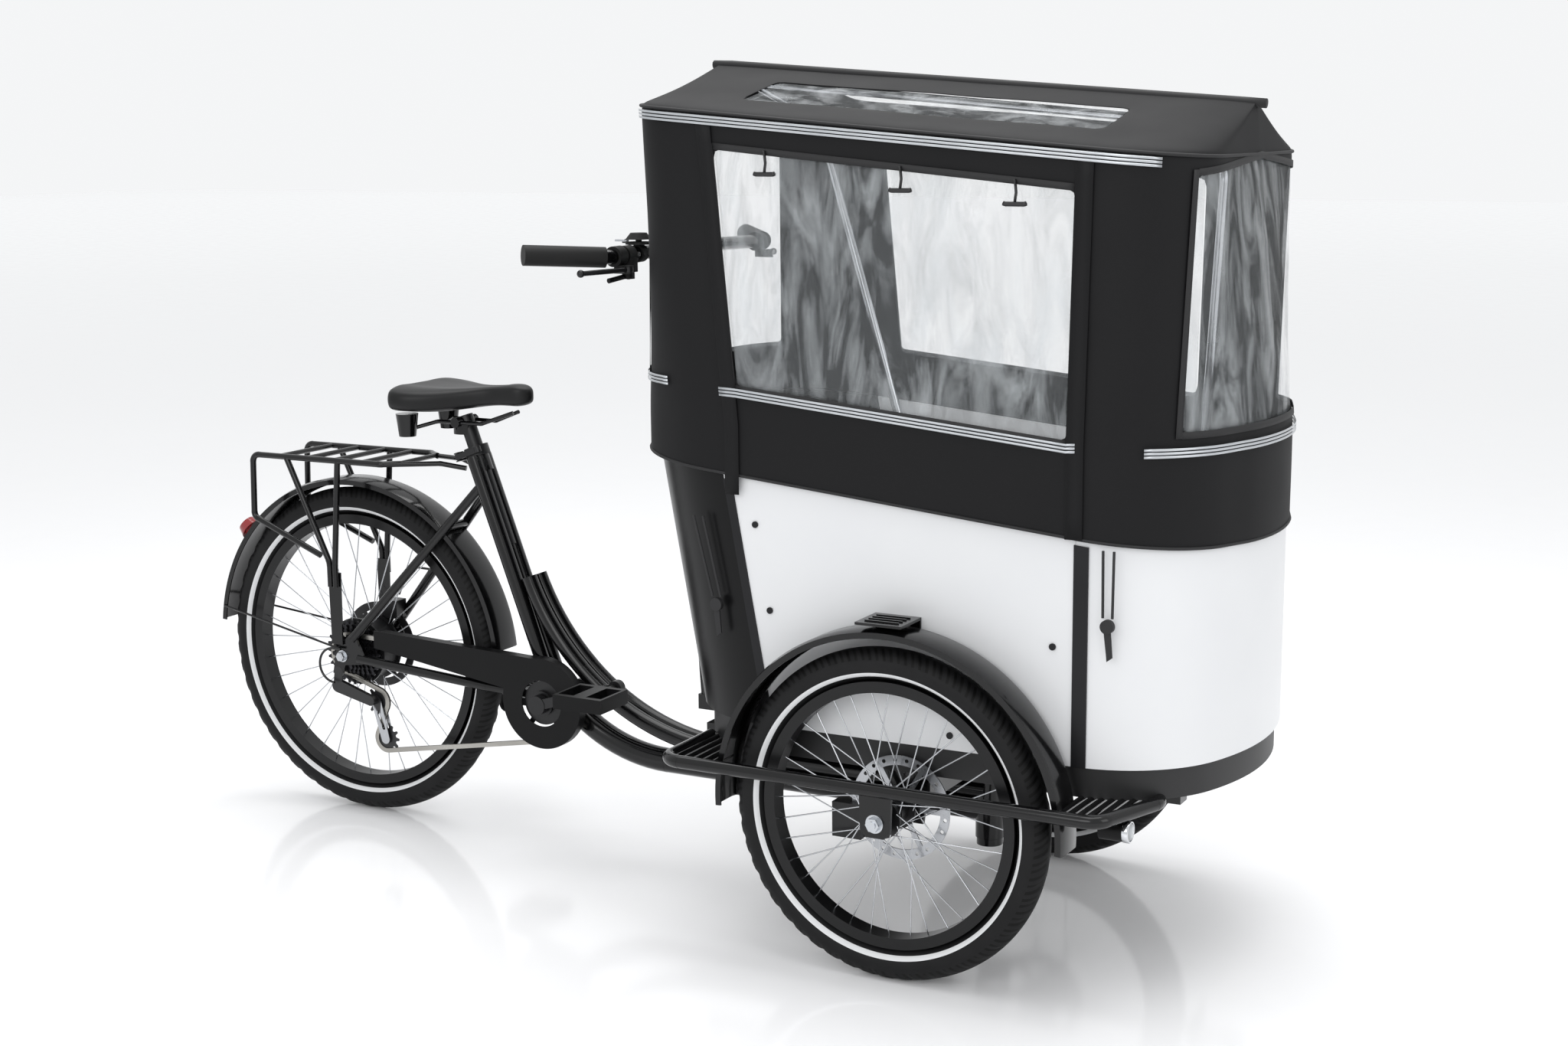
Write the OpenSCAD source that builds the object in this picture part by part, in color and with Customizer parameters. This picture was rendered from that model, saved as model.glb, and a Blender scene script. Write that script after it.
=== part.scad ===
// Front-loading cargo tricycle: a family box with a fabric canopy on two front
// wheels, which turn together under a single rear frame with one driven wheel.
// Millimetres. +X forward, +Y to the left, +Z up, ground at z = 0. Every module
// is drawn from the rear axle line; centred() moves it to the middle of the length.

/* [Wheels] */
// Bead seat radius of the rear rim
rear_bead_r = 253.5; // [230:0.5:310]
// Bead seat radius of the front rims
front_bead_r = 203; // [170:0.5:240]
// Width of a tyre
tyre_w = 50; // [40:1:60]
// Width of a rim
rim_w = 30; // [26:1:36]
// Depth of a rim, from the bead seat inwards
rim_depth = 17; // [12:1:26]
// Wall of a rim
rim_wall = 4; // [2:0.5:5]
// Number of spokes in each wheel
spokes = 36; // [24:4:48]
// Radius of a spoke
spoke_r = 1; // [0.9:0.1:1.6]
// Distance from the rear axle forward to the front axles
wheelbase = 1226; // [1150:1:1500]
// Distance between the middles of the front tyres
track = 641; // [620:1:760]
// Radius of the front brake discs
disc_r = 80; // [70:1:90]
// Radius of the front axles
front_axle_r = 6; // [5:0.5:8]
// Radius of the rear axle
rear_axle_r = 6; // [5:0.5:7]
// Radius of the rear hub motor
motor_r = 62; // [50:1:75]
// Radial clearance of a wheel or spindle on its axle
run_gap = 0.05; // [0.02:0.01:0.1]

/* [Fenders] */
// Gap between a tyre and the fender over it
fender_gap = 17; // [12:1:35]
// Width of a fender
fender_w = 62; // [52:1:64]
// Sheet thickness of a fender
fender_t = 2.5; // [1.5:0.5:4]
// Depth of a fender's side lips
fender_lip = 12; // [6:1:16]
// Angle of the rear fender's tail above the axle line
tail_angle = 5.5; // [0:0.5:40]

/* [Drive] */
// Distance from the rear axle forward to the crank axle
crank_x = 429; // [400:1:470]
// Height of the crank axle
crank_z = 262; // [240:1:300]
// Length of a crank arm
crank_len = 170; // [150:1:175]
// Angle of the right crank above the horizontal at rest
crank_angle = 17; // [0:1:60]
// Teeth on the chainring
ring_teeth = 34; // [28:1:36]
// Teeth on the cog that carries the chain
cog_teeth = 18; // [14:1:22]
// Teeth on the largest cog
big_cog_teeth = 28; // [24:1:32]
// Teeth on a jockey wheel
jockey_teeth = 11; // [10:1:13]
// Distance of the chain from the centre plane
chain_line = 48; // [44:1:50]

/* [Rear frame] */
// Radius of each of the paired frame tubes
twin_r = 13.5; // [11:0.5:15]
// Radius of the lower main tube
main_r = 21; // [18:0.5:24]
// Radius of the stays
stay_r = 8.5; // [7:0.5:10]
// Height of the top of the seat tube
seat_top_z = 693; // [640:1:720]
// Distance from the rear axle forward to the top of the seat tube
seat_top_x = 266; // [240:1:290]
// Height of the top of the saddle
saddle_z = 813; // [780:1:900]
// Travel of the seat post upwards
post_travel = 120; // [60:1:150]
// Inner distance between the rear dropouts
rear_spacing = 125; // [120:1:140]
// Height of the rack above the ground
rack_z = 665; // [650:1:720]
// Length of the rack's platform
rack_len = 300; // [240:1:360]
// Width of the rack's platform
rack_w = 150; // [110:1:180]
// Radius of the rack's tubes
rack_r = 5.5; // [4:0.5:8]

/* [Steering] */
// How far the steering pivot lies in front of the front axles
pivot_lead = 24; // [0:1:60]
// Radius of the steering spindle
spindle_r = 15; // [12:0.5:18]
// Height of the handlebar
bar_z = 1056; // [980:1:1120]
// Half width of the handlebar
bar_half = 345; // [300:1:380]
// Radius of the handlebar tube
bar_r = 11.1; // [11:0.1:13]
// How far the grip ends lie behind the middle of the bar
bar_sweep = 95; // [40:1:140]

/* [Box] */
// Height of the lower edge of the box panels
box_z = 350; // [330:1:400]
// Half of the width over the side panels
box_half = 281; // [240:1:281]
// Length from the foot of the rear panel to the front of the box
box_len = 882; // [860:1:1100]
// Distance from the front axles forward to the front of the box
box_front = 471; // [440:1:560]
// Height of the box wall at the rear
wall_h = 450; // [380:1:520]
// Thickness of a box panel
panel_t = 6; // [4:1:10]
// Radius of the rear corners
rear_corner_r = 180; // [120:1:200]
// Radius of the front corners
front_corner_r = 185; // [120:1:200]
// Radius of the bulged front
front_bulge_r = 450; // [400:1:900]
// Lean of the rear panel
rear_lean = 10.4; // [0:0.1:14]
// Height of the skirt under the panels
skirt_h = 46; // [30:1:60]
// Angle of the canopy's hem and of the box's upper edge
rim_slope = 5.6; // [0:0.1:8]
// Width of the footrest bar from the centre plane
bar_y = 370; // [368:1:440]
// Radius of the footrest tube
foot_r = 10; // [8:0.5:12]

/* [Canopy] */
// Height of the canopy's rear eave
eave_z = 1286; // [1180:1:1400]
// Fall of the eave from rear to front
eave_fall = 78; // [0:1:120]
// Rise of the ridge above the eaves
ridge_rise = 62; // [40:1:140]
// Thickness of the canopy's cloth with its seams and linings
cloth_t = 4; // [2:0.5:6]
// Gap between the box panels and the canopy
cloth_gap = 2; // [1:0.5:4]
// Height of the hem above the lower edge of the panels, at the rear
hem_h = 398; // [340:1:440]
// Height of the side windows' lower edge above the hem
sill_h = 138; // [90:1:180]

/* [Hidden] */
$fn = 48;

fit = 0.3;
saddle_t = 54;
// A bend is drawn a hair fatter than its tube, and laps over the tube's end
bend_swell = 0.2;
bend_lap = 0.8;
black = [0.08, 0.08, 0.085];
rubber = [0.12, 0.12, 0.12];
steel = [0.75, 0.76, 0.78];
white = [0.95, 0.95, 0.95];
grey = [0.35, 0.35, 0.36];
clear = [0.85, 0.9, 0.92, 0.35];

// Wheels
rear_r = rear_bead_r + tyre_w - 0.5;
front_r = front_bead_r + tyre_w - 0.5;
front_x = wheelbase;
wheel_y = track / 2;
front_z = front_r;
rear_z = rear_r;
hub_half = 44;
disc_y = 37;
fender_rear_r = rear_r + fender_gap + fender_t;
fender_front_r = front_r + fender_gap + 10 + fender_t;

// Drive: pitch circles of a 12.7 mm chain
chain_pitch = 12.7;
function pitch_r(teeth) = chain_pitch / (2 * sin(180 / teeth));
ring_r = pitch_r(ring_teeth);
cog_r = pitch_r(cog_teeth);
big_cog_r = pitch_r(big_cog_teeth);
jockey_r = pitch_r(jockey_teeth);
crank_pos = [crank_x, crank_z];
cog_pos = [0, rear_z];
jockey_a = [62, rear_z - 82];
jockey_b = [80, rear_z - 150];
tooth_h = 3.5;
tooth_t = 2;
pedal_y = 150;

// Frame
twin_y = twin_r + 1.5;
pivot_x = front_x + pivot_lead;
low_z = 174;
high_z = low_z + main_r + twin_r + 1;
head_r = spindle_r + 8;
head_low = 128;
head_high = 234;
drop_t = 5;
drop_y = rear_spacing / 2 + drop_t / 2;
post_r = 13.6;
sleeve_r = 18;
seat_lean = atan((crank_x - seat_top_x) / (seat_top_z - crank_z));

// Bench
bench_h = 184;
bench_t = 12;
cushion_t = 50;

// Box
front_apex_x = front_x + box_front;
rear_foot_x = front_apex_x - box_len;
tray_z = box_z - skirt_h;
floor_t = 10;
corner_y = box_half - front_corner_r;
bulge_x = front_apex_x - front_bulge_r;
blend_r = front_bulge_r - front_corner_r;
corner_x = bulge_x + sqrt(blend_r * blend_r - corner_y * corner_y);
blend_angle = asin(corner_y / blend_r);
rear_slope = tan(rear_lean);
wall_top_z = box_z + wall_h;
strip_w = 22;

// Canopy
skin_grow = cloth_gap + cloth_t;
skin_out = box_half + skin_grow;
rear_top_x = rear_foot_x - wall_h * rear_slope;
hem_z = box_z + hem_h;
hem_x = rear_top_x + 60;
canopy_back_x = rear_top_x - cloth_gap - cloth_t;
eave_back_x = canopy_back_x + 43;
eave_front_x = front_apex_x - 41;
eave_back_r = 70;
eave_front_r = 130;

// Whole object: the middle of its length
rear_reach = fender_rear_r * cos(tail_angle);
front_reach = front_apex_x + skin_grow;
mid_x = (front_reach - rear_reach) / 2;

module centred() {
    translate([-mid_x, 0, 0]) children();
}

// ---------------------------------------------------------------- helpers

// A round bar from point a to point b
module bar(a, b, r) {
    d = b - a;
    len = norm(d);
    translate(a)
        rotate([0, acos(d[2] / len), atan2(d[1], d[0])])
            cylinder(h = len, r = r);
}

function unit(v) = v / norm(v);

// How far a bend of radius bend reaches back from corner i of the path
function bend_reach(points, i, bend) =
    (i == 0 || i == len(points) - 1) ? 0 :
    let (u = unit(points[i] - points[i - 1]),
         v = unit(points[i + 1] - points[i]))
    bend * tan(acos(u * v) / 2);

// A quarter-ring or less that turns a bar at corner p from u towards v
module elbow(p, u, v, bend, r) {
    turn = acos(u * v);
    n = unit(v - (u * v) * u);
    c = p - u * bend * tan(turn / 2) + n * bend;
    w = cross(u, n);
    multmatrix([[-n[0], u[0], w[0], c[0]],
                [-n[1], u[1], w[1], c[1]],
                [-n[2], u[2], w[2], c[2]],
                [0, 0, 0, 1]])
        rotate_extrude(angle = turn)
            translate([bend, 0]) circle(r = r + bend_swell);
}

// A round bar bent through a list of points, with corners of radius bend
module bent_bar(points, r, bend) {
    last = len(points) - 1;
    for (i = [0 : last - 1]) {
        u = unit(points[i + 1] - points[i]);
        bar(points[i] + u * (bend_reach(points, i, bend) - bend_lap * sign(i)),
            points[i + 1] - u * (bend_reach(points, i + 1, bend)
                                 - bend_lap * sign(last - 1 - i)), r);
    }
    for (i = [1 : 1 : last - 1])
        elbow(points[i], unit(points[i] - points[i - 1]),
              unit(points[i + 1] - points[i]), bend, r);
}

// A disc whose axis lies along Y, centred on y
module disc_at(x, y, z, r, t) {
    translate([x, y + t / 2, z])
        rotate([90, 0, 0]) cylinder(h = t, r = r);
}

// A shape drawn in X and Z, given a thickness t from y towards +Y
module slab_xz(y, t) {
    translate([0, y + t, 0]) rotate([90, 0, 0]) linear_extrude(t) children();
}

// A hexagon nut whose axis lies along Y
module nut_at(x, y, z, flats, t) {
    translate([x, y + t / 2, z])
        rotate([90, 0, 0]) cylinder(h = t, r = flats / sqrt(3), $fn = 6);
}

// Both sides of the centre plane
module both_sides() {
    children();
    mirror([0, 1, 0]) children();
}

// A tube bent in an upright plane: an arc about (x, z) from angle a to angle b
module arc_tube(x, y, z, bend_r, r, a, b) {
    translate([x, y, z])
        rotate([90, 0, 0])
            rotate([0, 0, a])
                rotate_extrude(angle = b - a)
                    translate([bend_r, 0]) circle(r = r + bend_swell);
}

// ---------------------------------------------------------------- wheels

module tyre(bead_r) {
    mid_r = bead_r + tyre_w / 2 - 0.5;
    color(rubber) rotate([90, 0, 0]) rotate_extrude($fn = 96) {
        intersection() {
            difference() {
                translate([mid_r, 0]) circle(d = tyre_w);
                translate([mid_r, 0]) circle(d = tyre_w - 7);
                translate([0, -rim_w / 2 + rim_wall])
                    square([mid_r, rim_w - 2 * rim_wall]);
            }
            translate([bead_r, -tyre_w]) square(2 * tyre_w);
        }
    }
}

module rim(bead_r) {
    color(black) rotate([90, 0, 0]) rotate_extrude($fn = 96)
        difference() {
            translate([bead_r - rim_depth, -rim_w / 2])
                square([rim_depth, rim_w]);
            translate([bead_r - rim_depth + rim_wall, -rim_w / 2 + rim_wall])
                square([rim_depth, rim_w - 2 * rim_wall]);
        }
}

// Spokes from two hub flanges at radius flange_r and half spacing flange_y
module spoke_set(bead_r, flange_r, flange_y, cross) {
    rim_r = bead_r - rim_depth + 1;
    pitch = 360 / spokes;
    color(steel) for (i = [0 : spokes - 1]) {
        side = i % 2 == 0 ? 1 : -1;
        lean = floor(i / 2) % 2 == 0 ? cross : -cross;
        a = i * pitch;
        // Heads sit in and out of the flange by turns, so spokes pass clear
        foot_y = flange_y + (lean > 0 ? 1.7 : -1.7);
        foot = [flange_r * cos(a + lean), side * foot_y,
                flange_r * sin(a + lean)];
        top = [rim_r * cos(a), side * 2.5, rim_r * sin(a)];
        bar(foot, top, spoke_r);
    }
}

module hub(half, flange_r, flange_y, bore_r) {
    color(black) rotate([90, 0, 0]) difference() {
        union() {
            cylinder(h = 2 * half, r = 14, center = true);
            translate([0, 0, -flange_y]) cylinder(h = 2 * flange_y, r = 19);
            for (s = [-1, 1])
                translate([0, 0, s * flange_y])
                    cylinder(h = 4, r = flange_r, center = true);
            translate([0, 0, 0]) cylinder(h = 2, r = 20, center = true);
        }
        cylinder(h = 3 * half, r = bore_r, center = true);
    }
}

// A brake disc: an outer ring with vent holes, carried on six arms
module brake_disc(r, bore_r) {
    ring_in = r - 15;
    color(steel) rotate([90, 0, 0]) difference() {
        union() {
            difference() {
                cylinder(h = 2, r = r, center = true);
                cylinder(h = 3, r = ring_in, center = true);
            }
            cylinder(h = 2, r = 24, center = true);
            for (i = [0 : 5])
                rotate([0, 0, i * 60])
                    translate([20, -4, -1]) cube([ring_in - 18, 8, 2]);
        }
        cylinder(h = 4, r = bore_r, center = true);
        for (i = [0 : 23])
            rotate([0, 0, i * 15 + 7])
                translate([r - 7, 0, 0])
                    cylinder(h = 4, r = 3, center = true, $fn = 24);
    }
}

module at_rear_axle() {
    translate([0, 0, rear_z]) children();
}

module at_front_axle(side) {
    translate([front_x, side * wheel_y, front_z]) children();
}

module front_hub(side) {
    at_front_axle(side)
        hub(hub_half, 29, 26, front_axle_r + run_gap);
}

module front_disc(side) {
    at_front_axle(side)
        translate([0, -side * disc_y, 0]) brake_disc(disc_r, 14);
}

module rear_hub() {
    motor_half = 27;
    color(black) at_rear_axle() rotate([90, 0, 0]) difference() {
        union() {
            cylinder(h = 2 * motor_half, r = motor_r - 6, center = true);
            for (s = [-1, 1])
                translate([0, 0, s * (motor_half - 4)])
                    cylinder(h = 4, r = motor_r, center = true);
            translate([0, 0, -54]) cylinder(h = 54, r = 15);
            difference() {
                translate([0, 0, -42]) cylinder(h = 2, r = disc_r);
                translate([0, 0, -43]) cylinder(h = 4, r = disc_r - 15);
            }
            for (i = [0 : 5])
                rotate([0, 0, i * 60])
                    translate([12, -4, -42]) cube([disc_r - 25, 8, 2]);
        }
        cylinder(h = 130, r = rear_axle_r + run_gap, center = true);
    }
}

// ---------------------------------------------------------------- drive

// A toothed wheel about the Y axis
module sprocket(teeth, t) {
    r = pitch_r(teeth);
    pitch = 360 / teeth;
    rotate([90, 0, 0]) linear_extrude(t, center = true)
        polygon([for (i = [0 : teeth - 1], k = [0 : 3])
            let (a = (i + [-0.34, -0.14, 0.14, 0.34][k]) * pitch,
                 rr = r + [-tooth_h, tooth_h, tooth_h, -tooth_h][k])
            [rr * cos(a), rr * sin(a)]]);
}

module cassette() {
    cog_gap = 4;
    teeth = [big_cog_teeth, 24, 21, cog_teeth, 16, 14, 12];
    color(grey) at_rear_axle() difference() {
        union() {
            for (i = [0 : len(teeth) - 1])
                translate([0, -chain_line + (3 - i) * cog_gap, 0])
                    sprocket(teeth[i], tooth_t);
            disc_at(0, -chain_line + 1, 0, 19, 6.1 * cog_gap);
        }
        disc_at(0, -chain_line, 0, rear_axle_r + run_gap, 60);
    }
}

module jockey(pos) {
    color(grey) translate([pos[0], -chain_line, pos[1]]) difference() {
        union() {
            sprocket(jockey_teeth, tooth_t);
            disc_at(0, 0, 0, 8, 4);
        }
        disc_at(0, 0, 0, 2.5 + run_gap, 10);
    }
}

module crankset() {
    arm_y = 68;
    color(black) translate([crank_x, 0, crank_z]) difference() {
        union() {
            disc_at(0, 0, 0, 8, 2 * arm_y);
            rotate([0, -crank_angle, 0]) {
                difference() {
                    translate([0, -chain_line, 0])
                        sprocket(ring_teeth, tooth_t);
                    disc_at(0, -chain_line, 0, ring_r - 16, 6);
                }
                for (i = [0 : 4])
                    rotate([0, i * 72, 0])
                        translate([16, -chain_line - 0.7, -5])
                            cube([ring_r - 30, 1.4, 10]);
                disc_at(0, -chain_line - 4.5, 0, 22, 10);
                disc_at(0, -chain_line - 2.6, 0, 39, 2.4);
            }
            for (s = [-1, 1])
                rotate([0, s < 0 ? -crank_angle : 180 - crank_angle, 0]) {
                    disc_at(0, s * arm_y, 0, 17, 14);
                    disc_at(crank_len, s * arm_y, 0, 13, 14);
                    translate([8, s * arm_y - 6, -8.7])
                        cube([crank_len - 14, 12, 17.4]);
                }
        }
        rotate([0, -crank_angle, 0]) {
            disc_at(crank_len, -arm_y, 0, 7 + run_gap, 30);
            disc_at(-crank_len, arm_y, 0, 7 + run_gap, 30);
        }
    }
}

// A platform pedal about its own spindle; side is -1 on the right
module pedal(side) {
    a = side < 0 ? crank_angle : 180 + crank_angle;
    x = crank_x + crank_len * cos(a);
    z = crank_z + crank_len * sin(a);
    color(black) {
        disc_at(x, side * 84, z, 7, 44);
        difference() {
            translate([x - 47, side * pedal_y - 42, z - 12])
                cube([94, 84, 24]);
            for (s = [-1, 1])
                translate([x + s * 27 - 15, side * pedal_y - 32, z - 20])
                    cube([30, 64, 40]);
        }
    }
}

// Direction of the straight run between two wheels of a chain.
// sense is 1 for a wheel that turns clockwise and -1 for the other way.
function run_angle(c1, r1, s1, c2, r2, s2) =
    let (d = c2 - c1) atan2(d[1], d[0]) + asin((r2 * s2 - r1 * s1) / norm(d));
function run_point(c, r, s, a) = c - [sin(a), -cos(a)] * r * s;

chain_wheels = [
    [cog_pos, cog_r, 1],
    [crank_pos, ring_r, 1],
    [jockey_b, jockey_r, 1],
    [jockey_a, jockey_r, -1]
];

module chain() {
    plate_h = 8;
    plate_t = 1.3;
    slot_half = tooth_t / 2 + 0.5;
    n = len(chain_wheels);
    angles = [for (i = [0 : n - 1])
        let (a = chain_wheels[i], b = chain_wheels[(i + 1) % n])
        run_angle(a[0], a[1], a[2], b[0], b[1], b[2])];
    color(steel) for (i = [0 : n - 1]) {
        w = chain_wheels[i];
        v = chain_wheels[(i + 1) % n];
        a = angles[i];
        p = run_point(w[0], w[1], w[2], a);
        q = run_point(v[0], v[1], v[2], a);
        run = norm(q - p);
        before = angles[(i + n - 1) % n];
        turn = ((before - a) * w[2] + 720) % 360;
        for (s = [-1, 1]) {
            y = -chain_line + s * (slot_half + plate_t / 2);
            translate([p[0], y, p[1]]) rotate([0, -a, 0])
                translate([-bend_lap, -plate_t / 2, -plate_h / 2])
                    cube([run + 2 * bend_lap, plate_t, plate_h]);
            start = w[2] > 0 ? a + 90 : before - 90;
            translate([w[0][0], y, w[0][1]])
                rotate([0, -start, 0]) rotate([90, 0, 0])
                    rotate_extrude(angle = turn)
                        translate([w[1] - plate_h / 2, -plate_t / 2])
                            square([plate_h, plate_t]);
        }
        for (k = [2 : floor(run / chain_pitch) - 3])
            translate([p[0], -chain_line, p[1]]) rotate([0, -a, 0])
                disc_at(k * chain_pitch + chain_pitch / 2, 0, 0, 2.4,
                        2 * slot_half + 0.2);
    }
}

// The chain guard's body from y, t thick towards +Y and shrunk by inset
module guard_body(y, t, inset) {
    r = ring_r + 12 - inset;
    back_x = 66 + inset;
    disc_at(crank_x, y + t / 2, crank_z, r, t);
    slab_xz(y, t) polygon([
        [back_x, rear_z + 20 + inset],
        [back_x, rear_z + 52 - inset],
        [crank_x - 2, crank_z + r * 0.97],
        [crank_x - r * 0.72, crank_z + r * 0.2],
    ]);
}

module chain_guard() {
    y_out = -chain_line - 11;
    color(black) difference() {
        guard_body(y_out, 19, 0);
        guard_body(y_out + 2, 30, 2);
        disc_at(crank_x, y_out, crank_z, 41, 20);
        // The lower run leaves through the bottom of the guard
        translate([crank_x - 110, y_out + 2, crank_z - ring_r - 40])
            cube([110, 30, 46]);
        // The rear end is open to the cog
        translate([40, y_out + 2, rear_z]) cube([40, 30, 70]);
    }
}

module derailleur() {
    cage_in = 4.6;
    color(steel) {
        for (s = [-1, 1]) {
            y = -chain_line + s * (cage_in + 1) - 1;
            difference() {
                slab_xz(y, 2) hull() {
                    translate(jockey_a) circle(r = 11, $fn = 32);
                    translate(jockey_b) circle(r = 9, $fn = 32);
                }
                slab_xz(y - 1, 4) hull() {
                    translate(jockey_a + [5, -20]) circle(r = 4, $fn = 32);
                    translate(jockey_b + [-3, 20]) circle(r = 3, $fn = 32);
                }
            }
        }
        for (p = [jockey_a, jockey_b])
            disc_at(p[0], -chain_line, p[1], 2.5, 2 * cage_in + 4);
        // Knuckle, parallel links and hanger bolt, outside the cage
        y_link = -chain_line - cage_in - 11;
        bar([jockey_a[0] - 4, -chain_line - cage_in - 2, jockey_a[1] + 4],
            [jockey_a[0] - 4, y_link - 4, jockey_a[1] + 4], 9);
        slab_xz(y_link - 4, 9) hull() {
            translate([jockey_a[0] - 4, jockey_a[1] + 4])
                circle(r = 9, $fn = 32);
            translate([-16, rear_z - 58]) circle(r = 12, $fn = 32);
        }
        slab_xz(y_link - 4, 5) hull() {
            translate([-16, rear_z - 58]) circle(r = 9, $fn = 32);
            translate([-12, rear_z - 30]) circle(r = 9, $fn = 32);
        }
    }
}

// ---------------------------------------------------------------- frame

module dropout(side) {
    slab_xz(side * drop_y - drop_t / 2, drop_t) {
        hull() {
            translate([0, rear_z]) circle(r = 17, $fn = 32);
            translate([22, rear_z + 34]) circle(r = 9, $fn = 32);
            translate([42, rear_z - 4]) circle(r = 8, $fn = 32);
        }
    }
}

// The bent main tubes: an upright arc into a level run to the steering head
module twin_tube(y) {
    low_r = 420;
    low_bend = 43;
    up_r = 430;
    up_bend = 68;
    tangent_x = crank_x + 344;
    low_end = [tangent_x - low_r * sin(low_bend),
               high_z + low_r * (1 - cos(low_bend))];
    up_c = [low_end[0] + up_r * sin(low_bend),
            low_end[1] + up_r * cos(low_bend)];
    bar([tangent_x - bend_lap, y, high_z], [pivot_x, y, high_z], twin_r);
    arc_tube(tangent_x, y, high_z + low_r, low_r, twin_r,
             270 - low_bend, 270);
    arc_tube(up_c[0], y, up_c[1], up_r, twin_r + bend_swell,
             270 - up_bend, 270 - low_bend + 0.2);
}

module frame() {
    main_bend_r = 290;
    main_bend = 52;
    main_x = crank_x + main_bend_r * sin(main_bend) - 6;
    seat_low = [crank_x, crank_z];
    stay_top = [seat_top_x + 22, seat_top_z - 60];
    color(black) difference() {
        union() {
            // Bottom bracket shell and seat sleeve
            disc_at(crank_x, 0, crank_z, 24, 72);
            bar([seat_top_x + 40 * tan(seat_lean), 0, seat_top_z - 40],
                [seat_top_x, 0, seat_top_z], sleeve_r);
            // Paired seat tubes and paired upper tubes
            for (y = [-twin_y, twin_y]) {
                bar([crank_x, y, crank_z],
                    [seat_top_x + 12 * tan(seat_lean), y, seat_top_z - 12],
                    twin_r);
                twin_tube(y);
            }
            // Lower main tube
            bar([main_x - bend_lap, 0, low_z], [pivot_x, 0, low_z], main_r);
            arc_tube(main_x, 0, low_z + main_bend_r, main_bend_r, main_r,
                     270 - main_bend, 270);
            // Steering head
            translate([pivot_x, 0, head_low])
                cylinder(h = head_high - head_low, r = head_r);
            // Stays, bridge and dropouts
            for (s = [-1, 1]) {
                bar([stay_top[0], s * 16, stay_top[1]],
                    [22, s * drop_y, rear_z + 33], stay_r);
                bent_bar([[crank_x - 10, s * 27, crank_z + 4],
                          [crank_x - 130, s * 44, crank_z + 14],
                          [34, s * drop_y, rear_z - 2]], stay_r, 150);
                dropout(s);
            }
            bar([217, -30, rear_z + 250], [217, 30, rear_z + 250], 7);
            // Derailleur hanger and rack lugs
            slab_xz(-drop_y - drop_t / 2, drop_t)
                polygon([[-17, rear_z], [-24, rear_z - 34],
                         [-4, rear_z - 38], [8, rear_z - 10]]);
        }
        disc_at(crank_x, 0, crank_z, 17, 100);
        bar([seat_top_x + 300 * tan(seat_lean), 0, seat_top_z - 300],
            [seat_top_x - 10 * tan(seat_lean), 0, seat_top_z + 10],
            post_r + run_gap);
        for (s = [-1, 1])
            disc_at(0, s * drop_y, rear_z, rear_axle_r, 20);
        translate([pivot_x, 0, head_low - 10])
            cylinder(h = head_high - head_low + 20,
                     r = spindle_r + run_gap);
    }
}

module bottom_bracket() {
    color(steel) difference() {
        disc_at(crank_x, 0, crank_z, 17, 74);
        disc_at(crank_x, 0, crank_z, 8 + run_gap, 100);
    }
}

module rear_axle() {
    color(steel) {
        disc_at(0, 0, rear_z, rear_axle_r, rear_spacing + 30);
        for (s = [-1, 1]) {
            disc_at(0, s * (rear_spacing / 2 + drop_t + 0.75), rear_z, 11, 1.5);
            nut_at(0, s * (rear_spacing / 2 + drop_t + 5.5), rear_z, 15, 8);
        }
    }
}

// An arched fender about the origin, from angle a to angle b
module fender(r, a, b) {
    half = fender_w / 2;
    rotate([90, 0, 0]) rotate([0, 0, a]) rotate_extrude(angle = b - a, $fn = 96)
        difference() {
            polygon([[r - fender_lip, -half], [r - 3, -half],
                     [r, -half + 9], [r, half - 9], [r - 3, half],
                     [r - fender_lip, half]]);
            polygon([[r - fender_lip - 1, -half + fender_t],
                     [r - 3 - fender_t, -half + fender_t],
                     [r - fender_t, -half + 9 + fender_t],
                     [r - fender_t, half - 9 - fender_t],
                     [r - 3 - fender_t, half - fender_t],
                     [r - fender_lip - 1, half - fender_t]]);
        }
}

module rear_fender() {
    rod_a = 180 - tail_angle - 5;
    color(black) {
        at_rear_axle() fender(fender_rear_r, 6, 180 - tail_angle);
        for (s = [-1, 1]) {
            y_top = s * (fender_w / 2 + 1.2);
            at_rear_axle() bar(
                [(fender_rear_r - 6) * cos(rod_a), y_top,
                 (fender_rear_r - 6) * sin(rod_a)],
                [-7, s * (drop_y + 5), 14], 2);
        }
    }
}

module tail_light() {
    a = 142;
    r = fender_rear_r + 0.5;
    color([0.5, 0.05, 0.05]) at_rear_axle()
        rotate([0, -a, 0]) translate([r, 0, 0]) {
            rotate([0, 90, 0]) cylinder(h = 8, r = 16);
            translate([8, 0, 0]) rotate([0, 90, 0])
                cylinder(h = 16, r1 = 22, r2 = 17);
        }
}

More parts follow.
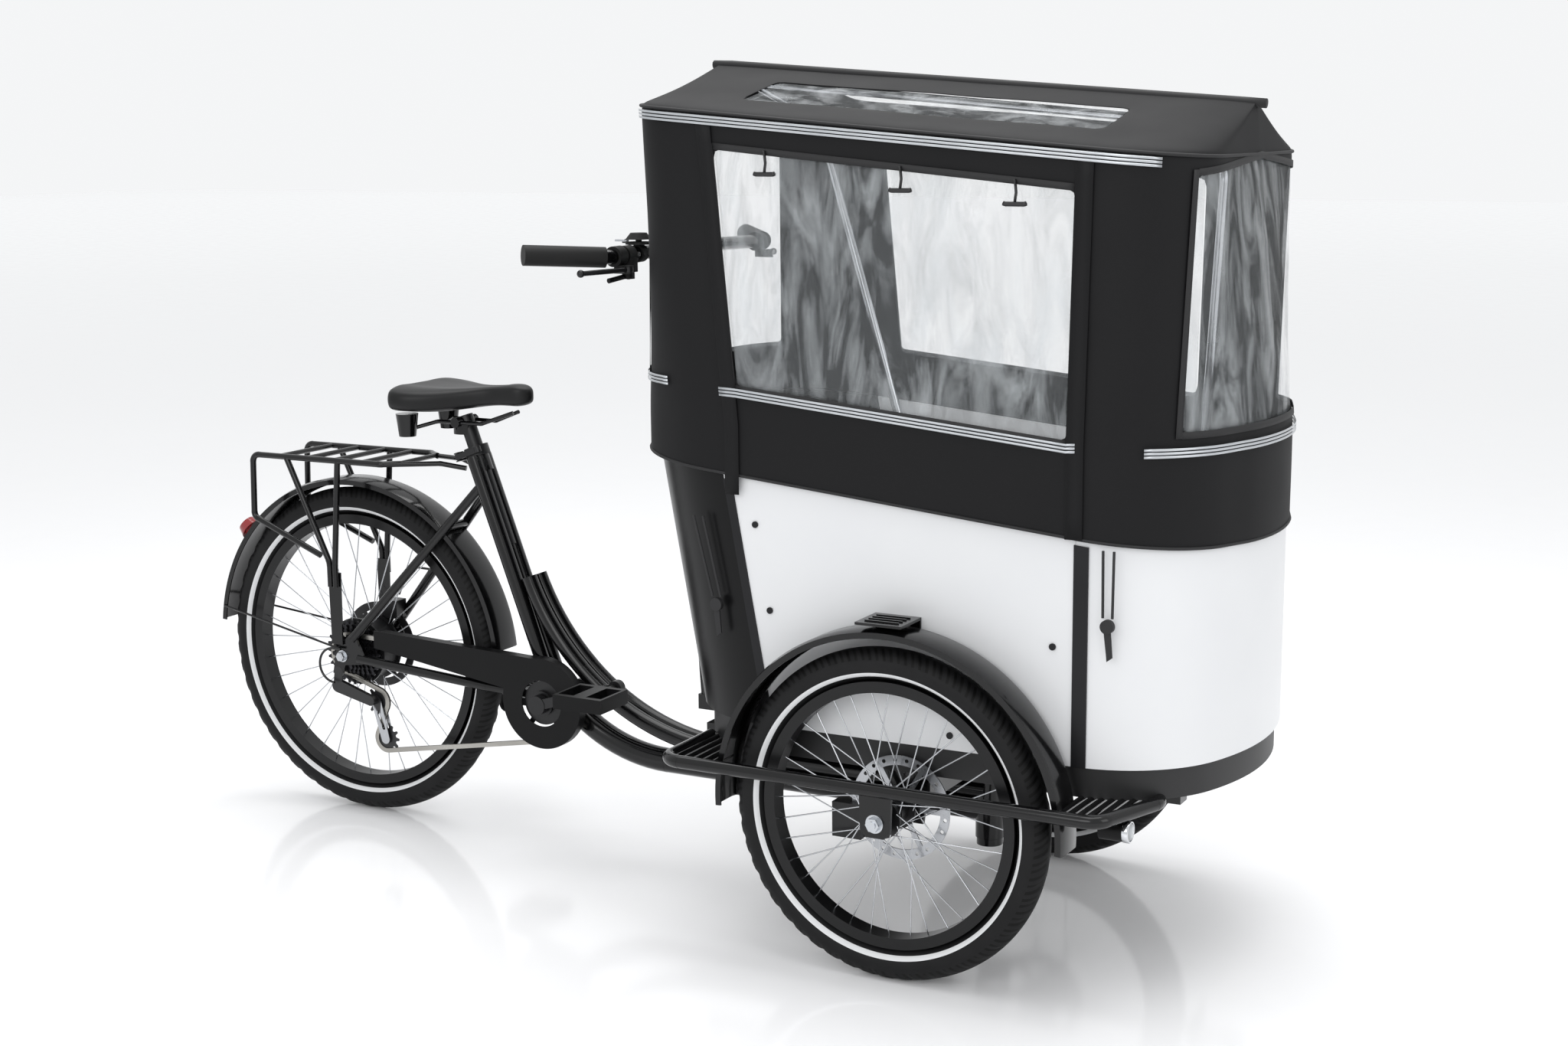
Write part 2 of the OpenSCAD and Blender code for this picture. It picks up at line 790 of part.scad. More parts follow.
module rear_rack() {
    back = -160;
    front = back + rack_len;
    half = rack_w / 2;
    foot_z = rear_z + 130;
    lug_y = drop_y + 2 * drop_t;
    color(black) {
        for (s = [-1, 1]) {
            y = s * half;
            // Side rail, falling to the rear hoop and back to the lug
            bent_bar([[front, y * 0.7, rack_z], [front - 30, y, rack_z],
                      [back - 22, y, rack_z], [back - 26, y, rack_z - 116],
                      [-34, s * lug_y, foot_z + 56]], rack_r, 14);
            bent_bar([[-104, y, rack_z], [-14, s * lug_y, foot_z + 44],
                      [-14, s * lug_y, foot_z]], rack_r, 30);
            bent_bar([[14, y, rack_z], [-2, s * lug_y, foot_z + 40],
                      [-2, s * lug_y, foot_z]], rack_r, 30);
            // Slotted plate down to the dropout
            slab_xz(s * (drop_y + drop_t) - 1.5, 3)
                polygon([[-22, foot_z + 26], [6, foot_z + 26],
                         [4, rear_z + 22], [-20, rear_z + 22]]);
            // Forward strut to the seat sleeve
            bent_bar([[front - 9, y * 0.78, rack_z - 1],
                      [front + 70, y * 0.42, rack_z + 2],
                      [seat_top_x - 12, s * 15, seat_top_z - 34]], 4.5, 20);
        }
        for (x = [back + 40 : 62 : front - 20])
            bar([x, -half, rack_z], [x, half, rack_z], 4.5);
        bar([front - 5, -half * 0.7, rack_z], [front - 5, half * 0.7, rack_z],
            4.3);
    }
}

module rear_caliper() {
    // Just clear of the motor's rim, behind the seat stay
    out = motor_r + 18.5;
    x = out * sin(26.57);
    z = out * cos(26.57);
    color(black) translate([x, 41, rear_z + z]) difference() {
        rotate([90, 45, 0]) cylinder(h = 29, r = 24, center = true, $fn = 4);
        rotate([90, 0, 0]) translate([-x, -z, -3])
            cylinder(h = 6, r = disc_r + 2);
    }
}

// The shift cable's loop into the derailleur and the rear brake's hose
module rear_cables() {
    housing_r = 2.2;
    color(black) {
        translate([-16, -drop_y - 10, rear_z - 17.5])
            rotate([90, 0, 0]) rotate([0, 0, 90])
                rotate_extrude(angle = 180, $fn = 64)
                    translate([32, 0]) circle(r = housing_r);
        bar([-16, -drop_y - 10, rear_z + 14.5], [2, -drop_y - 10, rear_z + 14.5],
            housing_r);
        bent_bar([[40, 52, rear_z + 96], [66, 56, rear_z + 150],
                  [130, 50, rear_z + 150], [196, 34, rear_z + 238]],
                 housing_r, 24);
    }
}

// ---------------------------------------------------------------- saddle

module along_post() {
    translate([seat_top_x, 0, seat_top_z]) rotate([0, -seat_lean, 0])
        children();
}

clamp_bolt = [-sleeve_r - 11, 0, -5];

module seat_clamp() {
    color(black) along_post() {
        difference() {
            union() {
                translate([0, 0, -14]) cylinder(h = 18, r = sleeve_r + 4);
                translate([-sleeve_r - 16, -9, -12]) cube([18, 18, 14]);
                // Fork that holds the cam lever's pin
                for (z = [-12, 2])
                    translate([clamp_bolt[0] - 4, -24, z]) cube([8, 18, 2]);
                translate(clamp_bolt + [0, 8.5, 0]) rotate([-90, 0, 0])
                    cylinder(h = 6, r = 6, $fn = 6);
            }
            translate([0, 0, -20]) cylinder(h = 20, r = sleeve_r);
            translate([0, 0, -20]) cylinder(h = 40, r = post_r + 0.4);
        }
        translate(clamp_bolt + [0, -19, -7]) cylinder(h = 14, r = 2);
    }
}

// The cam lever turns on an upright pin at the end of the clamp's bolt
module clamp_lever() {
    color(black) along_post() translate(clamp_bolt + [0, -19, 0])
        difference() {
            union() {
                translate([0, 0, -4.7]) cylinder(h = 11.4, r = 4.5);
                translate([0, -9, -4.2]) cube([50, 5, 10]);
                translate([0, -9, -4.2]) cube([6, 9, 10]);
                translate([50, -6.5, -4.2]) cylinder(h = 10, r = 6);
            }
            translate([0, 0, -20]) cylinder(h = 40, r = 2 + run_gap);
        }
}

post_top = saddle_z - seat_top_z - 58;

module seat_post() {
    color(black) along_post() translate([0, 0, -180])
        cylinder(h = 180 + post_top, r = post_r);
}

module saddle_rails() {
    base_z = saddle_z - saddle_t - 24;
    x = seat_top_x - post_top * tan(seat_lean);
    color(black) {
        // Clamp head on the post
        translate([x, 0, base_z - 16]) cylinder(h = 22, r = 20);
        disc_at(x, 0, base_z + 6, 9, 60);
        for (s = [-1, 1]) {
            bent_bar([[x + 110, s * 8, base_z + 27],
                      [x + 52, s * 22, base_z + 6],
                      [x - 40, s * 24, base_z + 6],
                      [x - 78, s * 52, base_z - 6]], 3.5, 14);
            // Spring boot
            translate([x - 80, s * 60, base_z - 18])
                cylinder(h = 40, r1 = 15, r2 = 20);
        }
    }
}

module saddle() {
    base_z = saddle_z - saddle_t;
    x = seat_top_x - post_top * tan(seat_lean);
    color(black) difference() {
        hull() {
            for (s = [-1, 1])
                translate([x - 72, s * 58, base_z + 20])
                    scale([1, 1, 0.72]) sphere(r = 47, $fn = 32);
            translate([x + 128, 0, base_z + 20])
                scale([1, 1, 0.9]) sphere(r = 22, $fn = 32);
            translate([x - 10, 0, base_z + 22])
                scale([1, 1, 0.52]) sphere(r = 54, $fn = 32);
        }
        translate([x - 200, -200, base_z - 100]) cube([500, 400, 100]);
    }
}

// ---------------------------------------------------------------- box

// The plan of the box's front, shrunk by inset, from the corner line forward
module front_plan(inset) {
    intersection() {
        translate([bulge_x, 0]) circle(r = front_bulge_r - inset, $fn = 96);
        union() {
            for (s = [-1, 1])
                translate([corner_x, s * corner_y])
                    circle(r = front_corner_r - inset, $fn = 96);
            reach = front_bulge_r - inset;
            polygon([
                [corner_x, -corner_y],
                [bulge_x + reach * cos(blend_angle),
                 -reach * sin(blend_angle)],
                [bulge_x + 2 * reach, -reach * sin(blend_angle)],
                [bulge_x + 2 * reach, reach * sin(blend_angle)],
                [bulge_x + reach * cos(blend_angle),
                 reach * sin(blend_angle)],
                [corner_x, corner_y]]);
            translate([corner_x - 60, -box_half + inset])
                square([60, 2 * (box_half - inset)]);
        }
    }
}

// The plan of the box with its rear at x = back, shrunk by inset
module box_plan(back, inset) {
    front_plan(inset);
    r = rear_corner_r - inset;
    translate([back + rear_corner_r, -box_half + inset])
        square([corner_x - back - rear_corner_r, 2 * (box_half - inset)]);
    for (s = [-1, 1])
        translate([back + rear_corner_r, s * (box_half - rear_corner_r)])
            circle(r = r, $fn = 96);
    translate([back + inset, -box_half + rear_corner_r])
        square([rear_corner_r, 2 * (box_half - rear_corner_r)]);
}

// Everything below the sloping plane that starts at height z over hem_x
module under_slope(z) {
    translate([hem_x, -600, z]) rotate([0, rim_slope, 0])
        translate([-800, 0, -1600]) cube([2600, 1200, 1600]);
}

// Places a plan so that it leans back as the rear panel does
module leaning(z) {
    translate([0, 0, z]) rotate([0, -rear_lean, 0]) children();
}

// The foot of the side panel's rear edge, where the corner starts
function edge_x(z) = rear_foot_x + rear_corner_r / cos(rear_lean)
    - (z - box_z) * rear_slope;

module side_panels() {
    top = wall_top_z + 40;
    color(white) both_sides() intersection() {
        slab_xz(box_half - panel_t, panel_t)
            polygon([[edge_x(box_z) + 1, box_z], [corner_x, box_z],
                     [corner_x, top], [edge_x(top) + 1, top]]);
        under_slope(wall_top_z);
    }
}

module front_panel() {
    color(white) intersection() {
        translate([0, 0, box_z]) linear_extrude(wall_h + 40) difference() {
            front_plan(0);
            front_plan(panel_t);
            translate([corner_x - 400, -400]) square([400.5, 800]);
        }
        under_slope(wall_top_z);
    }
}

module rear_panel() {
    r = rear_corner_r;
    half = box_half - r;
    color(black) intersection() {
        translate([rear_foot_x, 0, box_z]) rotate([0, -rear_lean, 0])
            translate([0, 0, -80]) linear_extrude(wall_h + 200)
                difference() {
                    union() {
                        translate([0, -half]) square([r, 2 * half]);
                        for (s = [-1, 1])
                            translate([r, s * half]) circle(r = r, $fn = 96);
                    }
                    translate([panel_t, -half]) square([r * 3, 2 * half]);
                    for (s = [-1, 1])
                        translate([r, s * half])
                            circle(r = r - panel_t, $fn = 96);
                    translate([r, -400]) square([r * 3, 800]);
                }
        translate([0, -500, box_z]) cube([2000, 1000, 1000]);
        under_slope(wall_top_z);
    }
}

// The tray under the box: floor, skirt and grey lip
module box_floor() {
    skirt_in = 8;
    color(grey) {
        translate([0, 0, tray_z]) linear_extrude(floor_t)
            box_plan(rear_foot_x + 6, skirt_in);
        translate([0, 0, tray_z + floor_t])
            linear_extrude(skirt_h - floor_t) difference() {
                box_plan(rear_foot_x + 6, skirt_in);
                box_plan(rear_foot_x + 6, skirt_in + 10);
            }
    }
}

// Upright strips over the panel joints, screws and eyelets
module panel_trim() {
    color(black) both_sides() {
        intersection() {
            slab_xz(box_half, 2)
                polygon([[edge_x(box_z), box_z],
                         [edge_x(box_z) + 14, box_z],
                         [edge_x(hem_z) + 14, hem_z],
                         [edge_x(hem_z), hem_z]]);
            under_slope(hem_z - 8);
        }
        intersection() {
            translate([corner_x - 2, box_half, box_z])
                cube([strip_w, 2, hem_h]);
            under_slope(hem_z - 8);
        }
        for (p = [[edge_x(box_z + 310) + 42, box_z + 310],
                  [edge_x(box_z + 180) + 42, box_z + 180],
                  [corner_x - 32, box_z + 172],
                  [corner_x - 32, box_z + 30],
                  [corner_x - 190, box_z + 22]])
            disc_at(p[0], box_half + 1.25, p[1], 5, 2.5);
    }
}

// Everything inside the box's walls, with room to spare all round
module inside_box(room) {
    intersection() {
        translate([0, 0, tray_z])
            linear_extrude(wall_h) box_plan(rear_foot_x, panel_t + room);
        children();
    }
}

module bench() {
    bench_z = tray_z + floor_t;
    back_x = rear_foot_x + 24;
    color(grey) inside_box(20) union() {
        translate([back_x, -box_half, bench_z])
            cube([14, 2 * box_half, bench_h]);
        translate([back_x + 268, -box_half, bench_z])
            cube([14, 2 * box_half, bench_h]);
        translate([back_x, -box_half, bench_z + bench_h - 4])
            cube([282, 2 * box_half, bench_t]);
    }
}

module seat_cushion() {
    color(black) inside_box(16)
        translate([rear_foot_x, -box_half + 20,
                   tray_z + floor_t + bench_h + bench_t - 4])
            cube([300, 2 * box_half - 40, cushion_t]);
}

// ---------------------------------------------------------------- chassis

module chassis() {
    beam_z = tray_z - 42;
    plate_y = wheel_y - hub_half - 10;
    post_x = rear_foot_x - 80;
    color(black) {
        difference() {
            union() {
                // Axle beam and its end plates
                translate([front_x - 20, -plate_y, beam_z])
                    cube([60, 2 * plate_y, 42]);
                for (s = [-1, 1])
                    slab_xz(s * plate_y - 3, 6)
                        polygon([[front_x - 34, tray_z],
                                 [front_x + 40, tray_z],
                                 [front_x + 30, front_z - 26],
                                 [front_x - 24, front_z - 26]]);
                // Rails under the tray
                for (s = [-1, 1])
                    translate([rear_foot_x + 10, s * 150 - 15, tray_z - 26])
                        cube([box_len - 90, 30, 26]);
                translate([rear_foot_x + 10, -165, tray_z - 26])
                    cube([30, 330, 26]);
                translate([post_x - 14, -15, tray_z - 26])
                    cube([120, 30, 26]);
                // Spindle that turns in the steering head
                translate([pivot_x, 0, head_low - 12])
                    cylinder(h = beam_z - head_low + 14, r = spindle_r);
                translate([pivot_x, 0, head_high + 1])
                    cylinder(h = beam_z - head_high, r = 34);
                translate([pivot_x, 0, head_low - 12])
                    cylinder(h = 11, r = 21);
            }
            for (s = [-1, 1])
                disc_at(front_x, s * plate_y, front_z, front_axle_r, 20);
        }
    }
}

module front_axles() {
    plate_y = wheel_y - hub_half - 10;
    in_y = plate_y - 12;
    out_y = bar_y + 14;
    color(steel) both_sides() {
        disc_at(front_x, (in_y + out_y) / 2, front_z, front_axle_r,
                out_y - in_y);
        nut_at(front_x, bar_y + 8.2, front_z, 19, 8);
        disc_at(front_x, bar_y + 3.2, front_z, 14, 2);
        nut_at(front_x, plate_y - 7.5, front_z, 19, 8);
    }
}

module foot_bars() {
    z = tray_z - 2;
    back_x = front_x - 361;
    tip_x = front_x + 339;
    low_z2 = front_z + 42;
    in_y = box_half - 62;
    nose_x = tip_x + 50;
    color(black) both_sides() {
        difference() {
            union() {
                bent_bar([[back_x, in_y, z], [back_x, bar_y, z],
                          [tip_x, bar_y, z], [nose_x, in_y + 10, z],
                          [nose_x - 46, in_y - 20, z]], foot_r, 30);
                // Inner rail that carries the slats at each end
                for (x = [back_x + 14 : 17 : back_x + 84])
                    bar([x, in_y, z], [x, bar_y - 4, z], 4.5);
                for (i = [0 : 5])
                    bar([tip_x - 58 + 14 * i, in_y - 6, z],
                        [tip_x - 62 + 14 * i, bar_y - 8 - 3 * i, z], 4.5);
                bar([back_x + 8, in_y, z], [back_x + 110, in_y, z], 6);
                bar([tip_x - 70, in_y - 4, z], [nose_x - 40, in_y - 20, z],
                    6);
                // Drop plate for the outer end of the axle
                slab_xz(bar_y - 4, 6)
                    polygon([[front_x - 26, z], [front_x + 26, z],
                             [front_x + 24, front_z - 14],
                             [front_x + 14, front_z - 22],
                             [front_x - 14, front_z - 22],
                             [front_x - 24, front_z - 14]]);
            }
            disc_at(front_x, bar_y, front_z, front_axle_r, 30);
        }
        // Brackets back to the rails
        translate([back_x + 46, 164, z - 22]) cube([24, in_y - 160, 22]);
        translate([tip_x - 40, 164, z - 22]) cube([24, in_y - 164, 22]);
    }
}

module front_fenders() {
    color(black) both_sides() {
        translate([front_x, wheel_y, front_z])
            fender(fender_front_r, -3, 183.5);
    }
}

module step_plates() {
    top_z = front_z + fender_front_r + 6;
    x = front_x - 42;
    color(black) both_sides() {
        translate([x, box_half + 0.3, top_z]) cube([74, 70, 4]);
        translate([x, box_half + 0.3, top_z - 34]) cube([16, 4, 36]);
        translate([x + 58, box_half + 0.3, top_z - 34]) cube([16, 4, 36]);
        for (i = [0 : 3])
            translate([x + 10, box_half + 16 + 13 * i, top_z + 4])
                cube([54, 3, 2]);
    }
}

module headlights() {
    lamp_x = front_x + 322;
    lamp_y = box_half + 26;
    lamp_z = tray_z - 29;
    color(black) both_sides() {
        translate([lamp_x, lamp_y, lamp_z]) rotate([0, 90, 0])
            cylinder(h = 42, r = 15);
        translate([lamp_x + 6, lamp_y - 5, lamp_z + 6]) cube([14, 10, 18]);
    }
}

module front_calipers() {
    x = front_x - 78;
    z = front_z - 30;
    y = wheel_y - disc_y;
    color(black) both_sides() difference() {
        translate([x - 30, y - 15, z - 26]) cube([48, 28, 54]);
        translate([front_x, y, front_z]) rotate([90, 0, 0])
            cylinder(h = 4.4, r = disc_r + 3, center = true);
    }
}

// ---------------------------------------------------------------- canopy

// The canopy's outer plan at the eaves
module eave_plan(inset) {
    hull() {
        for (s = [-1, 1]) {
            translate([eave_back_x + eave_back_r,
                       s * (skin_out - eave_back_r)])
                circle(r = eave_back_r - inset, $fn = 32);
            translate([eave_front_x - eave_front_r,
                       s * (skin_out - eave_front_r)])
                circle(r = eave_front_r - inset, $fn = 32);
        }
    }
}

// The canopy's plan where it goes over the box, shrunk by inset
module hem_plan(inset) {
    hull() {
        for (s = [-1, 1]) {
            translate([canopy_back_x + rear_corner_r,
                       s * (skin_out - rear_corner_r)])
                circle(r = rear_corner_r - inset, $fn = 32);
            translate([corner_x, s * (skin_out - front_corner_r)])
                circle(r = front_corner_r + 2 - inset, $fn = 32);
        }
        translate([front_reach - 20, -40]) square([20 - inset, 80]);
        translate([bulge_x + skin_grow, 0])
            arc_points(front_bulge_r - inset, blend_angle);
    }
}

// A thin wedge whose outer edge is an arc of radius r, from -a to a
module arc_points(r, a) {
    polygon(concat([[r - 40, 0]],
                   [for (k = [-4 : 4]) [r * cos(a * k / 4),
                                        r * sin(a * k / 4)]]));
}

// The whole space under the canopy's cloth, shrunk by inset
module canopy_space(inset) {
    length = eave_front_x - eave_back_x;
    slope = atan(eave_fall / length);
    hull() {
        for (z = [hem_z - 120, wall_top_z + 10])
            translate([0, 0, z]) linear_extrude(1) hem_plan(inset);
        translate([eave_back_x, 0, eave_z - 1 - inset * 0.5])
            rotate([0, slope, 0]) translate([-eave_back_x, 0, 0])
                linear_extrude(1) eave_plan(inset);
        translate([eave_back_x, 0, eave_z + ridge_rise - inset * 1.1])
            rotate([0, slope * 0.9, 0])
                translate([inset, -8, -1])
                    cube([length - 2 * inset, 16, 1]);
    }
}

// Window openings: sides, front, rear and roof
function window_z(x, up) = hem_z + sill_h + up - (x - hem_x) * tan(rim_slope);

module window_cuts(grow) {
    side_back = hem_x + 164;
    side_front = corner_x - 12;
    top = eave_z - hem_z - sill_h - 56;
    translate([0, 500, 0]) rotate([90, 0, 0]) linear_extrude(1000)
        polygon([[side_back - grow, window_z(side_back, -grow)],
                 [side_front + grow, window_z(side_front, -grow)],
                 [side_front + grow, window_z(side_front, top + grow)],
                 [side_back - 33 - grow, window_z(side_back, top + grow)]]);
    low = hem_z + sill_h - 55;
    high = eave_z - eave_fall - 22;
    rotate([90, 0, 90]) translate([0, 0, corner_x + 60])
        linear_extrude(300)
            polygon([[-234 - grow, low - grow], [234 + grow, low - grow],
                     [222 + grow, high + grow], [0, high + 40 + grow],
                     [-222 - grow, high + grow]]);
    rotate([90, 0, 90]) translate([0, 0, canopy_back_x - 50])
        linear_extrude(110)
            polygon([[-215 - grow, low + 50 - grow],
                     [215 + grow, low + 50 - grow],
                     [205 + grow, eave_z - 60 + grow],
                     [-205 - grow, eave_z - 60 + grow]]);
}

module roof_cuts(grow) {
    for (s = [-1, 1])
        translate([eave_back_x + 158 - grow, s * 135 - 55 - grow, eave_z - 200])
            cube([562 + 2 * grow, 110 + 2 * grow, 600]);
}

module canopy() {
    color(black) difference() {
        canopy_space(0);
        canopy_space(cloth_t);
        window_cuts(0);
        roof_cuts(0);
        translate([0, 0, -fit]) under_slope(hem_z);
    }
}

// Clear panes, set inside the cloth
module canopy_windows() {
    color(clear) {
        intersection() {
            difference() {
                canopy_space(cloth_t + 0.3);
                canopy_space(cloth_t + 1.5);
            }
            union() {
                window_cuts(12);
                roof_cuts(12);
            }
        }
    }
}

module canopy_poles() {
    r = 8;
    in_y = box_half - panel_t - r - 4;
    length = eave_front_x - eave_back_x;
    back = eave_back_x + 50;
    front = eave_front_x - 120;
    back_z = eave_z - 30;
    front_z2 = eave_z - eave_fall - 22;
    top_z = eave_z + ridge_rise - 26;
    foot_z = wall_top_z - 60;
    color(steel) {
        bent_bar([[back + 150, -in_y, foot_z], [back, 10 - in_y, back_z],
                  [back, 0, top_z],
                  [back, in_y - 10, back_z], [back + 150, in_y, foot_z]],
                 r, 40);
        bent_bar([[front - 30, 14 - in_y, foot_z - 60],
                  [front, 24 - in_y, front_z2],
                  [front, 0, top_z - eave_fall * 0.86],
                  [front, in_y - 24, front_z2],
                  [front - 30, in_y - 14, foot_z - 60]], r, 40);
        bar([back, 0, top_z - 3], [front, 0, top_z - 3 - eave_fall * 0.86],
            r - 1.5);
    }
}

// Elastic loops with a pulley and a hook that hold the canopy down
module tension_cords() {
    y = box_half + 9;
    color(black) both_sides() {
        for (p = [[edge_x(hem_z - 20) - 40, 0.19, 160],
                  [corner_x + 52, 0, 132]]) {
            x = p[0];
            lean = p[1];
            drop = p[2];
            low = hem_z - 55 - drop;
            for (s = [-1, 1])
                bar([x + s * 8, y, hem_z - 80],
                    [x + lean * drop + s * 7, y, low + 12], 2);
            disc_at(x + lean * drop, y, low, 10, 8);
            slab_xz(y - 1.5, 3) polygon([
                [x + lean * drop - 5, low - 8], [x + lean * drop + 5, low - 8],
                [x + lean * drop + 8, low - 44], [x + lean * drop, low - 50],
                [x + lean * drop - 1, low - 40]]);
        }
    }
}

// ---------------------------------------------------------------- steering

bar_x = rear_top_x - 14;
grip_in = [bar_x - 8, 248, bar_z - 4];
grip_end = [bar_x - bar_sweep, bar_half, bar_z + 3];
bar_turn = [bar_x, 80, bar_z];
grip_r = 16;
stem_r = 15;

function mirrored(p, side) = [p[0], side * p[1], p[2]];

// A point on the grip's line, t of the way from its inner end to its outer one
function grip_point(side, t) =
    mirrored(grip_in + (grip_end - grip_in) * t, side);

// A point on the bar, d inwards from the grip
function bar_point(side, d) =
    mirrored(grip_in + unit(bar_turn - grip_in) * d, side);

module handlebar() {
    post_low = [rear_foot_x - 80, 0, tray_z];
    post_high = [bar_x - 28, 0, bar_z - 54];
    color(black) {
        bent_bar([mirrored(grip_end, -1), mirrored(grip_in, -1),
                  mirrored(bar_turn, -1), bar_turn, grip_in, grip_end],
                 bar_r, 60);
        bent_bar([post_low, post_high, [bar_x, 0, bar_z]], stem_r, 40);
        translate([bar_x, 0, bar_z]) rotate([90, 0, 0])
            cylinder(h = 46, r = 19, center = true);
    }
}

function lever_pin(side) = bar_point(side, 22) + [22, 0, -20];
function shift_pin() = bar_point(-1, 50) + [2, 0, -32];
function bell_pin() = bar_point(-1, 84) + [-22, -4, 19];

module hand_controls() {
    color(black) {
        for (s = [-1, 1]) {
            // Grip
            difference() {
                bar(grip_point(s, 0.04), grip_point(s, 1.03), grip_r);
                bar(grip_point(s, 0), grip_point(s, 1), bar_r);
            }
            // Brake lever's clamp and fork
            difference() {
                union() {
                    bar(bar_point(s, 12), bar_point(s, 32), 16);
                    for (z = [-6.5, 4.5])
                        translate(lever_pin(s) + [0, 0, z])
                            cylinder(h = 2, r = 8);
                    translate(lever_pin(s) + [-24, -5, -6.5])
                        cube([15, 10, 13]);
                    for (z = [-6.5, 4.5])
                        translate(lever_pin(s) + [-12, -5, z])
                            cube([10, 10, 2]);
                    translate(lever_pin(s) + [0, 0, -6.5])
                        cylinder(h = 13, r = 2.5);
                }
                bar(bar_point(s, -20), bar_point(s, 60), bar_r);
            }
        }
        // Shifter housing with the lever's pin
        difference() {
            union() {
                bar(bar_point(-1, 38), bar_point(-1, 58), 15);
                translate(shift_pin() + [0, 0, 6]) cylinder(h = 22, r = 15);
                translate(shift_pin() - [0, 0, 6]) cylinder(h = 13, r = 2.5);
            }
            bar(bar_point(-1, 30), bar_point(-1, 70), bar_r);
        }
        // Bell: clamp, base and dome
        difference() {
            union() {
                bar(bar_point(-1, 76), bar_point(-1, 90), 14);
                translate(bar_point(-1, 83)) cylinder(h = 16, r = 6);
                translate(bar_point(-1, 83) + [0, 0, 14])
                    cylinder(h = 4, r = 21);
                translate(bar_point(-1, 83) + [0, 0, 22])
                    cylinder(h = 10, r1 = 21, r2 = 13);
                translate(bar_point(-1, 83) + [0, 0, 14])
                    cylinder(h = 12, r = 5);
                translate(bell_pin() - [0, 0, 3]) cylinder(h = 2, r = 6);
                translate(bell_pin() - [0, 0, 3]) cylinder(h = 6, r = 2);
            }
            bar(bar_point(-1, 70), bar_point(-1, 100), bar_r);
        }
    }
}

module brake_lever(side) {
    pin = lever_pin(side);
    tip = grip_point(side, 0.62) + [42, 0, -26];
    color(black) difference() {
        union() {
            translate(pin) cylinder(h = 8.4, r = 7, center = true);
            bar(pin, tip, 4);
            translate(tip) sphere(r = 6);
        }
        translate(pin) cylinder(h = 20, r = 2.5 + run_gap, center = true);
    }
}

module shift_lever() {
    p = shift_pin();
    color(black) difference() {
        union() {
            translate(p - [0, 0, 5]) cylinder(h = 10, r = 10);
            bar(p, p + [-10, -42, -6], 4);
        }
        translate(p) cylinder(h = 30, r = 2.5 + run_gap, center = true);
    }
}

module bell_lever() {
    p = bell_pin();
    color(black) difference() {
        union() {
            translate(p - [0, 0, 0.8]) cylinder(h = 3, r = 5);
            translate(p + [-18, -4, -0.8]) cube([18, 8, 3]);
        }
        translate(p) cylinder(h = 20, r = 2 + run_gap, center = true);
    }
}

centred() frame();
centred() bottom_bracket();
centred() rear_axle();
centred() rear_fender();
centred() tail_light();
centred() rear_rack();
centred() chain_guard();
centred() chain();
centred() derailleur();
centred() rear_caliper();
centred() rear_cables();
centred() seat_clamp();
centred() clamp_lever();
centred() seat_post();
centred() saddle_rails();
centred() saddle();
centred() crankset();
centred() pedal(-1);  // pedal_right
centred() pedal(1);  // pedal_left
centred() cassette();
centred() jockey(jockey_a);  // jockey_upper
centred() jockey(jockey_b);  // jockey_lower
centred() at_rear_axle() tyre(rear_bead_r);  // rear_tyre
centred() at_rear_axle() rim(rear_bead_r);  // rear_rim
centred() at_rear_axle() spoke_set(rear_bead_r, motor_r - 3, 23, 9);  // rear_spokes
centred() rear_hub();
centred() at_front_axle(-1) tyre(front_bead_r);  // front_tyre_right
centred() at_front_axle(-1) rim(front_bead_r);  // front_rim_right
centred() at_front_axle(-1) spoke_set(front_bead_r, 26, 26, 55);  // front_spokes_right
centred() front_hub(-1);  // front_hub_right
centred() front_disc(-1);  // front_disc_right
centred() at_front_axle(1) tyre(front_bead_r);  // front_tyre_left
centred() at_front_axle(1) rim(front_bead_r);  // front_rim_left
centred() at_front_axle(1) spoke_set(front_bead_r, 26, 26, 55);  // front_spokes_left
centred() front_hub(1);  // front_hub_left
centred() front_disc(1);  // front_disc_left
centred() chassis();
centred() foot_bars();
centred() front_axles();
centred() front_fenders();
centred() step_plates();
centred() headlights();
centred() front_calipers();
centred() side_panels();
centred() front_panel();
centred() rear_panel();
centred() box_floor();
centred() panel_trim();
centred() bench();
centred() seat_cushion();
centred() canopy();
centred() canopy_windows();
centred() canopy_poles();
centred() tension_cords();
centred() handlebar();
centred() hand_controls();
centred() brake_lever(-1);  // brake_lever_right
centred() brake_lever(1);  // brake_lever_left
centred() shift_lever();
centred() bell_lever();
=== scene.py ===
import math

import bmesh
import bpy
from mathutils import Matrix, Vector, noise


